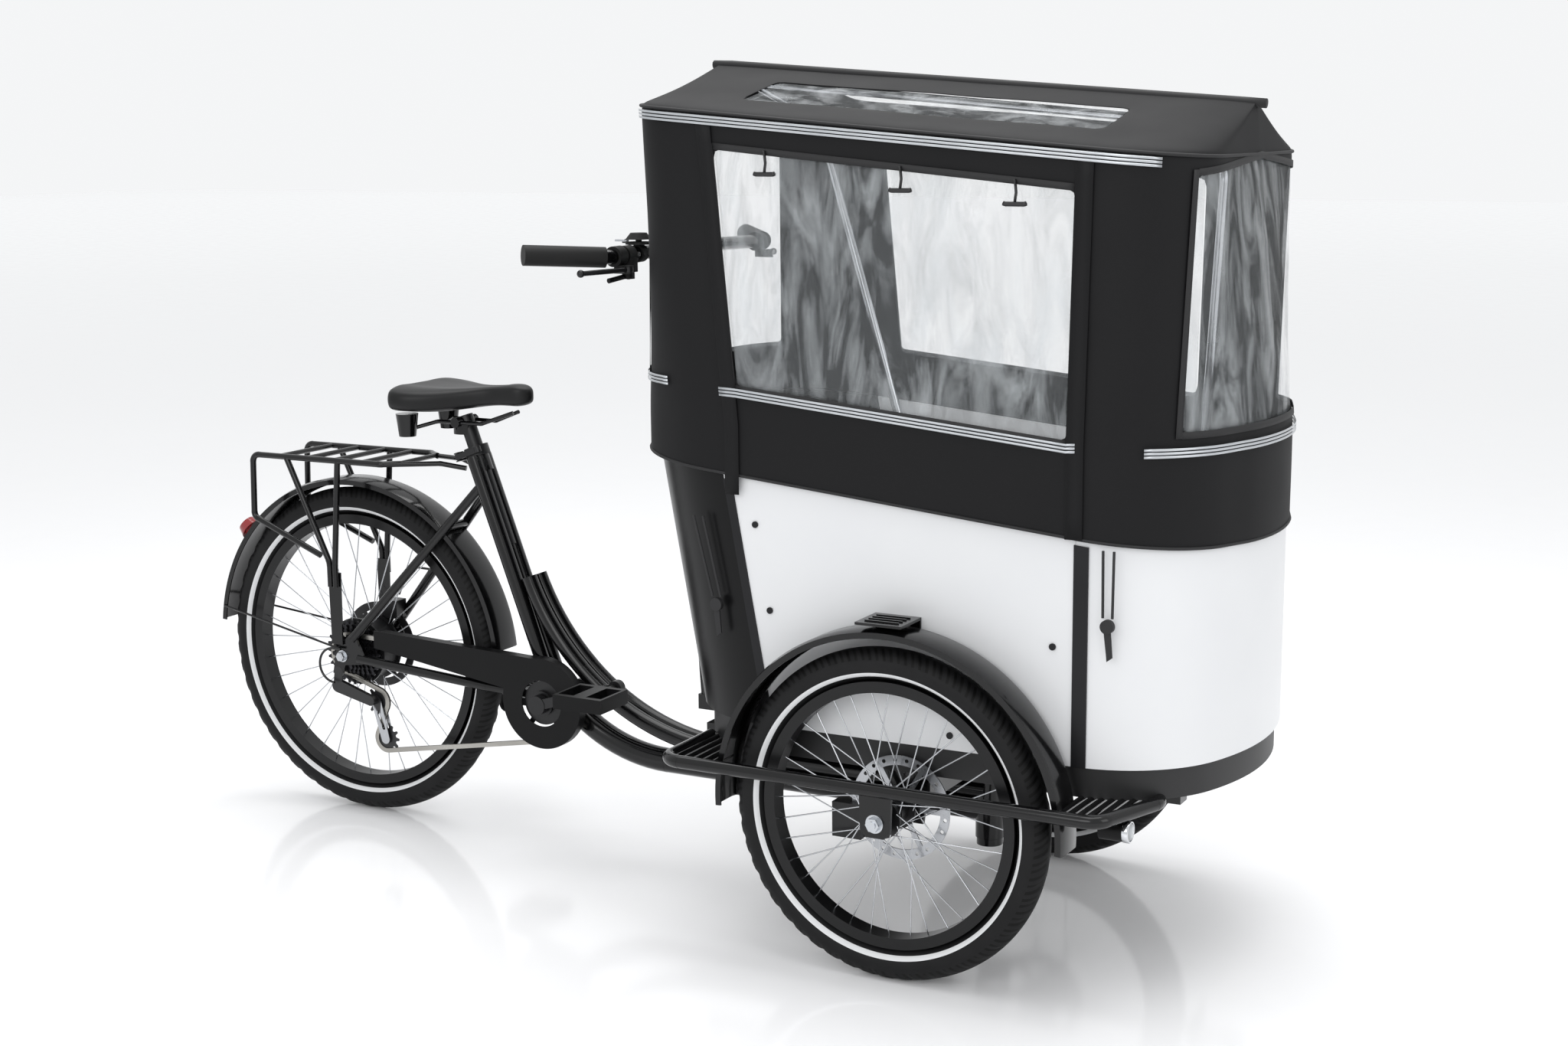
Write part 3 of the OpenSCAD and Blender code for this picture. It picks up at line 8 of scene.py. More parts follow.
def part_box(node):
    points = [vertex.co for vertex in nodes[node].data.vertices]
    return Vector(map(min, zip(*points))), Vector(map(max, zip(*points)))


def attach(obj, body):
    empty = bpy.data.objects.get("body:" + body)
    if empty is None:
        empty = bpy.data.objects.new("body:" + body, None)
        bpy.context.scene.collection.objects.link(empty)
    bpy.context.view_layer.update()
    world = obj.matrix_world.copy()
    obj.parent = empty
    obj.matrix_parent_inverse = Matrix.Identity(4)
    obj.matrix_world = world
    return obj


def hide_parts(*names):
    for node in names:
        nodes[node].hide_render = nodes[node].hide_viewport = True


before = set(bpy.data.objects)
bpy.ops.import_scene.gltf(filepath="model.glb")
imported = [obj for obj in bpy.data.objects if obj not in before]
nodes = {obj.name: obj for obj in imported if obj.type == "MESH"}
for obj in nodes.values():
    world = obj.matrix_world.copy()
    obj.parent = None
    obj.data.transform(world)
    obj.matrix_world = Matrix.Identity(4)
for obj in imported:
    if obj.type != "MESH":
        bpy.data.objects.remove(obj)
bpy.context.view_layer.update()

# ---------------------------------------------------------------- camera
# A 50 mm lens looks at the right side from a little ahead of the trike,
# at about the height of the canopy.
camera = bpy.data.objects.new("Camera", bpy.data.cameras.new("Camera"))
bpy.context.collection.objects.link(camera)
camera.data.lens = 50.71
camera.data.sensor_width = 36
camera.location = (1.88005, -3.13954, 1.25920)
look = Vector((-0.46634912, 0.8661565, -0.17969813))
camera.rotation_euler = look.to_track_quat("-Z", "Y").to_euler()
camera.rotation_euler.rotate_axis("Z", math.radians(-0.513))
bpy.context.scene.camera = camera

# ---------------------------------------------------------------- studio
# A pale sealed floor under a large soft box on each side and one overhead.
# The floor is slightly glossy, so that the wheels mirror in it.


def linear(hex_colour):
    """An sRGB colour, written as in #RRGGBB, turned to linear light."""
    parts = [int(hex_colour[i : i + 2], 16) / 255 for i in (1, 3, 5)]
    return [c / 12.92 if c < 0.04045 else ((c + 0.055) / 1.055) ** 2.4 for c in parts] + [1]


def add_node(tree, kind, settings=None, links=None):
    """Adds a shader node, sets what it is given and joins its inputs."""
    node = tree.nodes.new(kind)
    for key, value in (settings or {}).items():
        if isinstance(key, str) and hasattr(node, key):
            setattr(node, key, value)
        else:
            node.inputs[key].default_value = value
    for key, source in (links or {}).items():
        tree.links.new(source, node.inputs[key])
    return node


def new_finish(name, shader):
    """A material with its shader's own sockets set."""
    material = bpy.data.materials.new(name)
    material.use_nodes = True
    tree = material.node_tree
    skin = tree.nodes["Principled BSDF"]
    for key, value in shader.items():
        skin.inputs[key].default_value = value
    return material, tree, skin


def grained(name, colour, worn, grain_mm, depth_mm, rough, stretch=(1, 1, 1), **shader):
    """A finish whose colour, gloss and bump follow one grain of a real size."""
    material, tree, skin = new_finish(name, {k.replace("_", " "): v for k, v in shader.items()})
    place = add_node(tree, "ShaderNodeTexCoord")
    spot = place.outputs["Object"]
    drawn = add_node(tree, "ShaderNodeMapping", {"Scale": stretch}, {"Vector": spot})
    grain = {"Scale": 1000 / grain_mm, "Detail": 3}
    fine = add_node(tree, "ShaderNodeTexNoise", grain, {"Vector": drawn.outputs[0]})
    broad = add_node(tree, "ShaderNodeTexNoise", {"Scale": 9, "Detail": 5}, {"Vector": spot})
    tint = add_node(
        tree,
        "ShaderNodeMixRGB",
        {"Color1": linear(colour), "Color2": linear(worn)},
        {"Fac": broad.outputs[0]},
    )
    spread = {"To Min": rough[0], "To Max": rough[1]}
    gloss = add_node(tree, "ShaderNodeMapRange", spread, {"Value": broad.outputs[0]})
    bump = add_node(
        tree,
        "ShaderNodeBump",
        {"Strength": 0.6, "Distance": depth_mm / 1000},
        {"Height": fine.outputs[0]},
    )
    tree.links.new(tint.outputs[0], skin.inputs["Base Color"])
    tree.links.new(gloss.outputs[0], skin.inputs["Roughness"])
    tree.links.new(bump.outputs[0], skin.inputs["Normal"])
    return material


def deselect():
    """Nothing stays selected."""
    bpy.ops.object.select_all(action="DESELECT")


deselect()
bpy.ops.mesh.primitive_plane_add(size=60, location=(0, 0, 0))
floor = bpy.context.object
floor.name = "studio_floor"
# Sealed resin floor: even and pale, with a faint broad variation in gloss
floor.data.materials.append(
    grained(
        "Pale resin floor", "#F6F6F7", "#F3F3F4", 40, 0.004, (0.09, 0.13), Specular_IOR_Level=0.3
    )
)

world = bpy.data.worlds.new("Studio")
bpy.context.scene.world = world
bpy.context.scene.view_settings.view_transform = "Standard"
world.use_nodes = True
world.node_tree.nodes["Background"].inputs[0].default_value = linear("#FAFBFC")
world.node_tree.nodes["Background"].inputs[1].default_value = 0.95


def soft_box(name, spot, aim, size, power):
    """A square lamp at spot that faces aim."""
    lamp = bpy.data.objects.new(name, bpy.data.lights.new(name, "AREA"))
    bpy.context.collection.objects.link(lamp)
    lamp.data.shape = "RECTANGLE"
    lamp.data.size = size[0]
    lamp.data.size_y = size[1]
    lamp.data.energy = power
    lamp.location = spot
    lamp.rotation_euler = (Vector(aim) - Vector(spot)).to_track_quat("-Z", "Y").to_euler()


soft_box("overhead_box", (0.2, 0.3, 3.6), (0, 0, 0.5), (4.0, 2.4), 85)
soft_box("right_box", (0.6, -4.2, 2.4), (0, 0, 0.6), (3.0, 1.8), 45)
soft_box("front_box", (4.6, -0.8, 2.0), (0.4, 0, 0.6), (1.8, 2.2), 22)

# ---------------------------------------------------------------- rear frame
# Welded steel tubes, blasted and powder coated gloss black in one go with
# the rack, mudguards and foot bars that bolt to them.
rear_axle_x = sum(p.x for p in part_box("rear_tyre")) / 2


def at(x, y, z):
    """A point given in mm from the rear axle's line, as a row-frame vector."""
    return Vector((rear_axle_x + x / 1000, y / 1000, z / 1000))


def dress(material, *names):
    """Gives CAD nodes their finish and rounds off the shading of their curves."""
    for name in names:
        node = nodes[name]
        node.data.materials.clear()
        node.data.materials.append(material)
        node.data.polygons.foreach_set("use_smooth", [True] * len(node.data.polygons))
        weld = node.modifiers.new("Weld", "WELD")
        weld.merge_threshold = 1e-6
        split = node.modifiers.new("Crease", "EDGE_SPLIT")
        split.split_angle = math.radians(28)


# Powder coat: deep black, faint orange peel a millimetre and a half wide
powder_coat = grained(
    "Gloss black powder coat", "#060607", "#09090A", 1.6, 0.012, (0.16, 0.24),
    Specular_IOR_Level=0.25, Coat_Weight=0.3, Coat_Roughness=0.06,
)
dress(powder_coat, "frame")

# ---------------------------------------------------------------- bottom bracket and axles
# Turned steel bearing shell and axles with washers and hexagon nuts,
# zinc plated.

# Zinc plate: bright, slightly blue, with fine turning marks
zinc_plate = grained(
    "Zinc plated steel", "#C9CCD0", "#B4B7BB", 0.8, 0.01, (0.2, 0.32), (1, 6, 1), Metallic=1
)
dress(zinc_plate, "bottom_bracket", "rear_axle", "front_axles")

# ---------------------------------------------------------------- rear mudguard and lamp
# Rolled steel mudguard in the same coat, and a moulded red lens clipped to
# its tail.
dress(powder_coat, "rear_fender")

# Red acrylic: deep, glassy, with a grid of prisms 3 mm wide
red_acrylic = grained(
    "Red acrylic lens", "#7A0A0C", "#8E1012", 3, 0.3, (0.08, 0.16), Coat_Weight=0.5
)
dress(red_acrylic, "tail_light")

# ---------------------------------------------------------------- rack
# Bent steel rod, welded and powder coated, bolted to the seat sleeve and
# the dropouts.
dress(powder_coat, "rear_rack")

# ---------------------------------------------------------------- chain guard
# Injection moulded black plastic shell, screwed over the upper chain run.

# Moulded ABS: spark-eroded grain nearly a millimetre wide
black_abs = grained(
    "Black moulded ABS", "#070708", "#0B0B0C", 0.9, 0.05, (0.34, 0.46), Specular_IOR_Level=0.18
)
dress(black_abs, "chain_guard")

# ---------------------------------------------------------------- chain and gears
# Riveted nickel plated chain, blackened steel cogs, and a pressed alloy
# derailleur cage with moulded jockey wheels.

# Nickel plate on steel: bright with an oily film that varies
nickel_plate = grained(
    "Nickel plated steel", "#B9B7B2", "#8F8C86", 2, 0.02, (0.22, 0.4), Metallic=1
)
# Blackened steel: dark, and rubbed brighter where the chain runs
black_steel = grained("Blackened steel", "#2A2A2C", "#3A3A3D", 1.2, 0.02, (0.3, 0.45), Metallic=0.9)
# Tumbled aluminium: soft bright satin
satin_aluminium = grained(
    "Satin aluminium", "#C4C6C9", "#A9ABAF", 1.0, 0.01, (0.24, 0.36), Metallic=1
)
# Acetal: black, waxy and smooth
black_acetal = grained("Black acetal", "#151516", "#1B1B1D", 0.8, 0.02, (0.32, 0.42))
dress(nickel_plate, "chain")
dress(black_steel, "cassette")
dress(satin_aluminium, "derailleur")
# The links and the body above the cage are moulded in black
shifter = nodes["derailleur"]
shifter.data.materials.append(black_acetal)
shifter_top = max((shifter.matrix_world @ v.co).z for v in shifter.data.vertices)
cage_top = shifter_top - 0.075
for face in shifter.data.polygons:
    if (shifter.matrix_world @ face.center).z > cage_top:
        face.material_index = 1
dress(black_acetal, "jockey_upper", "jockey_lower")

# ---------------------------------------------------------------- brakes and cables
# Cast calipers, anodised black, and smooth plastic-covered hoses.

# Black anodise: satin, faintly grey on the edges
black_anodise = grained(
    "Black anodised aluminium",
    "#0D0D0E",
    "#151517",
    0.7,
    0.015,
    (0.28, 0.4),
    Specular_IOR_Level=0.4,
)
# Extruded hose cover: smooth and shiny
hose_cover = grained("Black hose cover", "#101011", "#141415", 1.5, 0.01, (0.25, 0.33))
dress(black_anodise, "rear_caliper", "front_calipers", "seat_clamp", "clamp_lever")
dress(hose_cover, "rear_cables")

# ---------------------------------------------------------------- seat post and cranks
# Drawn aluminium post and forged cranks, both anodised black, and moulded
# platform pedals.
dress(black_anodise, "seat_post", "crankset")
dress(powder_coat, "saddle_rails")
dress(black_abs, "pedal_right", "pedal_left")

# ---------------------------------------------------------------- saddle
# Foam on a plastic base under stitched black vinyl: wide at the back, a
# long narrow nose, and a shallow channel down the middle.
saddle_low, saddle_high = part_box("saddle")


def skin_over(name, rings, closed_ends=True):
    """A closed skin through rings of points, one after another."""
    mesh = bpy.data.meshes.new(name)
    shape = bmesh.new()
    loops = [[shape.verts.new(p) for p in ring] for ring in rings]
    for a, b in zip(loops, loops[1:]):
        for i in range(len(a)):
            j = (i + 1) % len(a)
            shape.faces.new((a[i], a[j], b[j], b[i]))
    if closed_ends:
        shape.faces.new(loops[0][::-1])
        shape.faces.new(loops[-1])
    bmesh.ops.recalc_face_normals(shape, faces=shape.faces)
    shape.to_mesh(mesh)
    shape.free()
    piece = bpy.data.objects.new(name, mesh)
    bpy.context.collection.objects.link(piece)
    return piece


def smooth(piece, levels):
    """Rounds a piece with subdivision and smooth shading."""
    for face in piece.data.polygons:
        face.use_smooth = True
    if levels:
        round_off = piece.modifiers.new("Round", "SUBSURF")
        round_off.levels = levels
        round_off.render_levels = levels


def ease(t):
    """A smooth step from 0 to 1."""
    t = min(max(t, 0), 1)
    return t * t * (3 - 2 * t)


def saddle_ring(t):
    """One cross-section of the saddle, t of the way from its tail to its nose."""
    length = saddle_high.x - saddle_low.x
    half_width = (saddle_high.y - saddle_low.y) / 2
    x = saddle_low.x + 0.003 + (length - 0.006) * t
    waist = 1 - 0.78 * ease((t - 0.16) / 0.6)
    tail = math.sqrt(ease(t / 0.12 + 0.12))
    nose = math.sqrt(ease((1 - t) / 0.1 + 0.1))
    half = half_width * waist * tail * nose
    roll_in = 0.011 * (1 - ease(t / 0.08)) + 0.009 * (1 - ease((1 - t) / 0.07))
    top = saddle_high.z - 0.0005 - 0.007 * math.sin(math.pi * min(t * 1.15, 1)) - roll_in
    bottom = saddle_low.z + 0.0005 + 0.014 * ease((t - 0.3) / 0.5) + roll_in
    ring = []
    for i in range(24):
        a = 2 * math.pi * i / 24
        y = half * math.copysign(abs(math.cos(a)) ** 0.8, math.cos(a))
        lift = math.sin(a)
        z = bottom + (top - bottom) * (0.5 + 0.5 * math.copysign(abs(lift) ** 0.5, lift))
        if lift > 0.9 and t < 0.8:
            z -= 0.003
        ring.append((x, y, max(z, bottom)))
    return ring


saddle = skin_over("saddle_pad", [saddle_ring(i / 22) for i in range(23)])
smooth(saddle, 2)
# Vinyl: leather-like grain about a millimetre and a half across
grain_vinyl = grained(
    "Grained black vinyl", "#09090A", "#0F0F10", 1.6, 0.12, (0.36, 0.48), Specular_IOR_Level=0.3
)
saddle.data.materials.append(grain_vinyl)
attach(saddle, "seat")
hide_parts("saddle")

# ---------------------------------------------------------------- tyres
# Vulcanised rubber with a centre rib, slanted side grooves, and a silver
# reflecting stripe laminated into each sidewall.
section_r = 0.025
groove_pitch = 0.012
groove_slant = 55
groove_depth = 0.002
steps_a_groove = 5
ring_steps = 40


def groove_count(outer):
    """Whole grooves round a tyre of one outer radius."""
    return round(2 * math.pi * outer / groove_pitch)


def tyre_rubber(name, centre, stripe_r):
    """Rubber with the tread and the stripe laid round one wheel's axis."""
    material, tree, skin = new_finish(name, {"Specular IOR Level": 0.22})
    place = add_node(tree, "ShaderNodeTexCoord")
    shift = add_node(
        tree,
        "ShaderNodeMapping",
        {"Location": (-centre.x, -centre.y, -centre.z)},
        {"Vector": place.outputs["Object"]},
    )
    axes = add_node(tree, "ShaderNodeSeparateXYZ", {}, {0: shift.outputs[0]})

    def maths(operation, *inputs):
        node = add_node(tree, "ShaderNodeMath", {"operation": operation})
        for i, value in enumerate(inputs):
            if isinstance(value, (int, float)):
                node.inputs[i].default_value = value
            else:
                tree.links.new(value, node.inputs[i])
        return node.outputs[0]

    x, y, z = axes.outputs
    radius = maths("SQRT", maths("ADD", maths("MULTIPLY", x, x), maths("MULTIPLY", z, z)))
    turn = maths("ARCTAN2", z, x)
    side = maths("ABSOLUTE", y)
    crown = maths("GREATER_THAN", radius, centre.z - 0.016)
    # The grooves are painted darker than the worn crown: painted shade in the recesses
    per_radian = groove_count(centre.z) / (2 * math.pi)
    slant = maths("ADD", maths("MULTIPLY", turn, per_radian), maths("MULTIPLY", side, groove_slant))
    groove = maths("LESS_THAN", maths("FRACT", maths("ADD", slant, 0.1)), 0.4)
    off_rib = maths("GREATER_THAN", side, 0.0055)
    # Mask of the painted groove shade: grooves off the centre rib, on the crown
    groove_shade_mask = maths("MULTIPLY", maths("MULTIPLY", groove, off_rib), crown)
    rib_edge = maths("LESS_THAN", maths("ABSOLUTE", maths("SUBTRACT", side, 0.0048)), 0.0008)
    height = maths("SUBTRACT", 1.0, maths("MULTIPLY", rib_edge, crown))
    stripe = maths("LESS_THAN", maths("ABSOLUTE", maths("SUBTRACT", radius, stripe_r)), 0.0032)
    dust = add_node(
        tree, "ShaderNodeTexNoise", {"Scale": 30, "Detail": 4}, {"Vector": shift.outputs[0]}
    )
    rubber = add_node(
        tree,
        "ShaderNodeMixRGB",
        {"Color1": linear("#0F0F10"), "Color2": linear("#1A1A1B")},
        {"Fac": dust.outputs[0]},
    )
    # Painted shade: the grooves are coloured near black
    groove_shaded = add_node(
        tree,
        "ShaderNodeMixRGB",
        {"Color2": linear("#020202")},
        {"Fac": groove_shade_mask, "Color1": rubber.outputs[0]},
    )
    striped = add_node(
        tree,
        "ShaderNodeMixRGB",
        {"Color2": linear("#DCDDDE")},
        {"Fac": stripe, "Color1": groove_shaded.outputs[0]},
    )
    rough = add_node(
        tree, "ShaderNodeMapRange", {"To Min": 0.62, "To Max": 0.45}, {"Value": stripe}
    )
    bump = add_node(
        tree, "ShaderNodeBump", {"Strength": 0.9, "Distance": 0.0016}, {"Height": height}
    )
    tree.links.new(striped.outputs[0], skin.inputs["Base Color"])
    tree.links.new(rough.outputs[0], skin.inputs["Roughness"])
    tree.links.new(bump.outputs[0], skin.inputs["Normal"])
    return material


def settle(piece):
    """Puts a piece's place into its mesh."""
    deselect()
    piece.select_set(True)
    bpy.context.view_layer.objects.active = piece
    bpy.ops.object.transform_apply(location=True, rotation=True, scale=True)


def make_tyre(name, node, body, stripe_r):
    """A tyre turned about its wheel's axis, with beads that seat in the rim."""
    low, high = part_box(node)
    centre = (low + high) / 2
    outer = (high.z - low.z) / 2
    deselect()
    bpy.ops.mesh.primitive_torus_add(
        major_radius=outer - section_r,
        minor_radius=section_r - 0.0002,
        major_segments=groove_count(outer) * steps_a_groove,
        minor_segments=ring_steps,
        rotation=(math.pi / 2, 0, 0),
    )
    tyre = bpy.context.object
    tyre.name = name
    settle(tyre)
    twist = groove_slant * 2 * math.pi / groove_count(outer)
    for v in tyre.data.vertices:
        radius = math.hypot(v.co.x, v.co.z)
        side = abs(v.co.y)
        # The mesh leans with the grooves, and two lines in five are pressed in
        angle = math.atan2(v.co.z, v.co.x) - side * twist
        in_groove = v.index // ring_steps % steps_a_groove < 2
        if in_groove and side > 0.0055 and radius > outer - 0.016:
            radius -= groove_depth
        v.co.x, v.co.z = radius * math.cos(angle), radius * math.sin(angle)
        inner = outer - 2 * section_r
        narrow = 1.0
        if radius < inner + 0.012:
            narrow = 0.55 + 0.45 * (radius - inner) / 0.012
        v.co.y *= narrow
    tyre.location = centre
    settle(tyre)
    smooth(tyre, 0)
    tyre.data.materials.append(tyre_rubber(name + "_rubber", centre, stripe_r))
    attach(tyre, body)
    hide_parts(node)
    return tyre


make_tyre("rear_tyre_casing", "rear_tyre", "rear_wheel", 0.265)
make_tyre("front_right_tyre_casing", "front_tyre_right", "right_front_wheel", 0.2144)
make_tyre("front_left_tyre_casing", "front_tyre_left", "left_front_wheel", 0.2144)

# ---------------------------------------------------------------- rims, spokes and hubs
# Extruded rims and machined hubs, anodised black, laced with stainless
# spokes, and steel rotors bolted to the hubs.

# Anodised rim: dark satin, drawn lengthwise
rim_anodise = grained(
    "Anodised rim", "#0B0B0C", "#121213", 0.6, 0.01, (0.25, 0.36), Specular_IOR_Level=0.3
)
# Stainless wire: bright and smooth
stainless = grained(
    "Stainless spoke wire", "#CDCFD2", "#B9BBBF", 0.5, 0.005, (0.16, 0.24), Metallic=1
)
# Ground rotor steel: fine rings of grinding marks
ground_steel = grained(
    "Ground rotor steel", "#B8BABD", "#9A9CA0", 0.7, 0.02, (0.2, 0.34), Metallic=1
)
dress(rim_anodise, "rear_rim", "front_rim_right", "front_rim_left")
dress(stainless, "rear_spokes", "front_spokes_right", "front_spokes_left")
dress(black_anodise, "rear_hub", "front_hub_right", "front_hub_left")
dress(ground_steel, "front_disc_right", "front_disc_left")

# ---------------------------------------------------------------- front carriage
# Welded steel beams and bent foot bars, powder coated, with rolled
# mudguards and step plates bolted on, and moulded lamps with clear lenses.
dress(powder_coat, "chassis", "foot_bars", "front_fenders", "step_plates")
dress(black_abs, "headlights")
lamps_low, lamps_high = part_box("headlights")
lamp_r = 0.015


def turned(name, middle, profile, material):
    """A piece turned about a line ahead, from (mm ahead, mm radius) pairs."""
    rings = []
    for ahead, r in profile:
        angles = [2 * math.pi * k / 40 for k in range(40)]
        spots = [Vector((ahead, r * math.cos(a), r * math.sin(a))) / 1000 for a in angles]
        rings.append([middle + spot for spot in spots])
    piece = skin_over(name, rings)
    smooth(piece, 0)
    split = piece.modifiers.new("Crease", "EDGE_SPLIT")
    split.split_angle = math.radians(35)
    piece.data.materials.append(material)
    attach(piece, "front_carriage")
    return piece


# Chromed ABS: mirror bright
chrome = grained("Chromed bezel", "#D8DADC", "#CCCED1", 5, 0.002, (0.04, 0.08), Metallic=1)
# Polycarbonate lens: clear, with moulded flutes 3 mm apart
clear_lens = grained(
    "Clear polycarbonate lens", "#E9ECEE", "#DFE3E6", 3, 0.2, (0.04, 0.08), Transmission_Weight=0.6,
    IOR=1.58,
)
for side_name, y in (("right", lamps_low.y + lamp_r), ("left", lamps_high.y - lamp_r)):
    lamp_face = Vector((lamps_high.x, y, lamps_low.z + lamp_r))
    turned(
        side_name + "_lamp_bezel",
        lamp_face,
        [(-7, 15.2), (-6, 15.9), (1, 15.9), (2.4, 15), (2.4, 13.4), (0.3, 12.8)],
        chrome,
    )
    turned(
        side_name + "_lamp_lens",
        lamp_face,
        [(0.2, 13), (1.8, 12.4), (3.4, 9.5), (4.4, 5.5), (4.8, 1)],
        clear_lens,
    )

# ---------------------------------------------------------------- box panels
# Formed composite panels: satin white in front and at the sides, black at
# the rear corners, joined by aluminium strips and set in a dark tray.

# White gel coat: clean satin with a slight long wave
white_gel_coat = grained(
    "Satin white gel coat",
    "#DDDEDF",
    "#D8D9DB",
    3,
    0.01,
    (0.3, 0.36),
    Coat_Weight=0.2,
    Coat_Roughness=0.2,
)
# Black gel coat: the same surface in black
black_gel_coat = grained(
    "Satin black gel coat", "#080809", "#0C0C0D", 3, 0.01, (0.26, 0.34), Specular_IOR_Level=0.2
)
# Moulded tray: near black, fine grain
dark_tray_abs = grained("Dark moulded tray", "#141415", "#19191A", 1.0, 0.04, (0.42, 0.52))
# Extruded strip: black anodised aluminium, with its drawing lines upright
strip_aluminium = grained(
    "Anodised strip", "#1A1A1C", "#222224", 0.6, 0.01, (0.28, 0.38), (6, 6, 1), Metallic=0.6
)
dress(white_gel_coat, "side_panels", "front_panel")
dress(black_gel_coat, "rear_panel")
dress(dark_tray_abs, "box_floor")
dress(strip_aluminium, "panel_trim")

# ---------------------------------------------------------------- bench
# Birch plywood, varnished, screwed to the tray.

# Birch: pale, with grain lines about 4 mm apart along the bench
birch_plywood = grained(
    "Varnished birch plywood", "#B08A5A", "#C9A675", 4, 0.05, (0.35, 0.45), (8, 0.6, 8)
)
dress(birch_plywood, "bench")

# ---------------------------------------------------------------- seat cushion
# Foam in a woven cover, with sides that pull in between the corners.
cushion_low, cushion_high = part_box("seat_cushion")
cushion = bpy.data.objects.new("bench_cushion", nodes["seat_cushion"].data.copy())
bpy.context.collection.objects.link(cushion)
cushion.matrix_world = nodes["seat_cushion"].matrix_world
settle(cushion)
cushion.data.materials.clear()
middle = (cushion_low + cushion_high) / 2
slack_share = 0.975
puff_limit = 0.006
for v in cushion.data.vertices:
    v.co = middle + (v.co - middle) * slack_share
weld = cushion.modifiers.new("Weld", "WELD")
weld.merge_threshold = 1e-5
bpy.ops.object.modifier_apply(modifier="Weld")
voxels = cushion.modifiers.new("Voxels", "REMESH")
voxels.mode = "VOXEL"
voxels.voxel_size = 0.008
bpy.ops.object.modifier_apply(modifier="Voxels")
flat_shape = [v.co.copy() for v in cushion.data.vertices]
cloth = cushion.modifiers.new("Cloth", "CLOTH")
cloth.settings.use_pressure = True
cloth.settings.uniform_pressure_force = 4
cloth.settings.effector_weights.gravity = 0
for step in range(1, 21):
    bpy.context.scene.frame_set(step)
bpy.ops.object.modifier_apply(modifier="Cloth")
bpy.context.scene.frame_set(1)
for v, start in zip(cushion.data.vertices, flat_shape):
    swell = v.co - start
    if swell.length > puff_limit:
        v.co = start + swell.normalized() * puff_limit
    v.co.z = max(v.co.z, cushion_low.z + 0.0005)
smooth(cushion, 1)
# Woven cover: charcoal thread about a millimetre and a half thick
woven_cover = grained(
    "Charcoal woven cover", "#2B2C2F", "#3A3B3F", 1.5, 0.3, (0.8, 0.9), Sheen_Weight=0.2
)
cushion.data.materials.append(woven_cover)
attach(cushion, "front_carriage")
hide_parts("seat_cushion")

# ---------------------------------------------------------------- canopy cloth
# Coated polyester sewn to the plan of the box at its hem, drawn in to
# narrower eaves and up to a ridge pole, with openings for clear panes.
cloth_low, cloth_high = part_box("canopy")
half_wide = cloth_high.y * 1000
back_x = (cloth_low.x - rear_axle_x) * 1000
front_x = (cloth_high.x - rear_axle_x) * 1000
hem_top = 811
eave_back_z = 1286
eave_slope = 78 / 886
eave_back_x = back_x + 43
eave_front_x = front_x - 47
ridge_z = 1348
sill_rise = 138
side_pane_h = 344
rear_sill_z = 881
rear_lintel_z = 1226
front_sill_z = 831
front_lintel_z = 1180


def corner(cx, cy, r, start, end, steps=24):
    """Points of a corner arc in plan, in degrees from straight ahead."""
    angles = [math.radians(start + (end - start) * i / steps) for i in range(steps + 1)]
    return [(cx + r * math.cos(a), cy + r * math.sin(a)) for a in angles]


rear_r = 180
bulge_r = 450
eave_rear_r = 70
eave_front_r = 130
base_plan = (
    [(back_x, 0)]
    + corner(back_x + rear_r, -(half_wide - rear_r), rear_r, -180, -90)
    + corner(front_x - 209, -(half_wide - 185), 187, -90, -21)
    + corner(front_x - bulge_r, 0, bulge_r, -13, 0)
)
eave_plan = (
    [(eave_back_x, 0)]
    + corner(eave_back_x + eave_rear_r, -(half_wide - eave_rear_r), eave_rear_r, -180, -90)
    + corner(eave_front_x - eave_front_r, -(half_wide - eave_front_r), eave_front_r, -90, -4)
    + [(eave_front_x + 3, 0)]
)


def walk(plan):
    """Length along a plan up to each of its points."""
    lengths = [0]
    for a, b in zip(plan, plan[1:]):
        lengths.append(lengths[-1] + math.dist(a, b))
    return lengths


def along(plan, lengths, s):
    """The point at length s along a plan."""
    s = min(max(s, 0), lengths[-1])
    for i in range(1, len(plan)):
        if s <= lengths[i] + 1e-9:
            t = (s - lengths[i - 1]) / max(lengths[i] - lengths[i - 1], 1e-9)
            return tuple(plan[i - 1][k] * (1 - t) + plan[i][k] * t for k in (0, 1))
    return plan[-1]


def reach(plan, lengths, test):
    """The first length along a plan at which the point passes a test."""
    steps = 4000
    for i in range(steps + 1):
        s = lengths[-1] * i / steps
        if test(*along(plan, lengths, s)):
            return s
    return lengths[-1]


base_lengths = walk(base_plan)
eave_lengths = walk(eave_plan)
# Edges of the panes in mm from the rear axle, on the hem's plan and the eave's
rear_pane_half = (217, 203.5)
side_pane_back = (961.6, 917.7)
side_pane_front = (1481.9, 1490.7)
front_pane_half = (234.7, 221.2)
nose_x = 1560


def station(base_test, eave_test):
    """Where two tests first pass, on the hem's plan and on the eave's above it."""
    return reach(base_plan, base_lengths, base_test), reach(eave_plan, eave_lengths, eave_test)


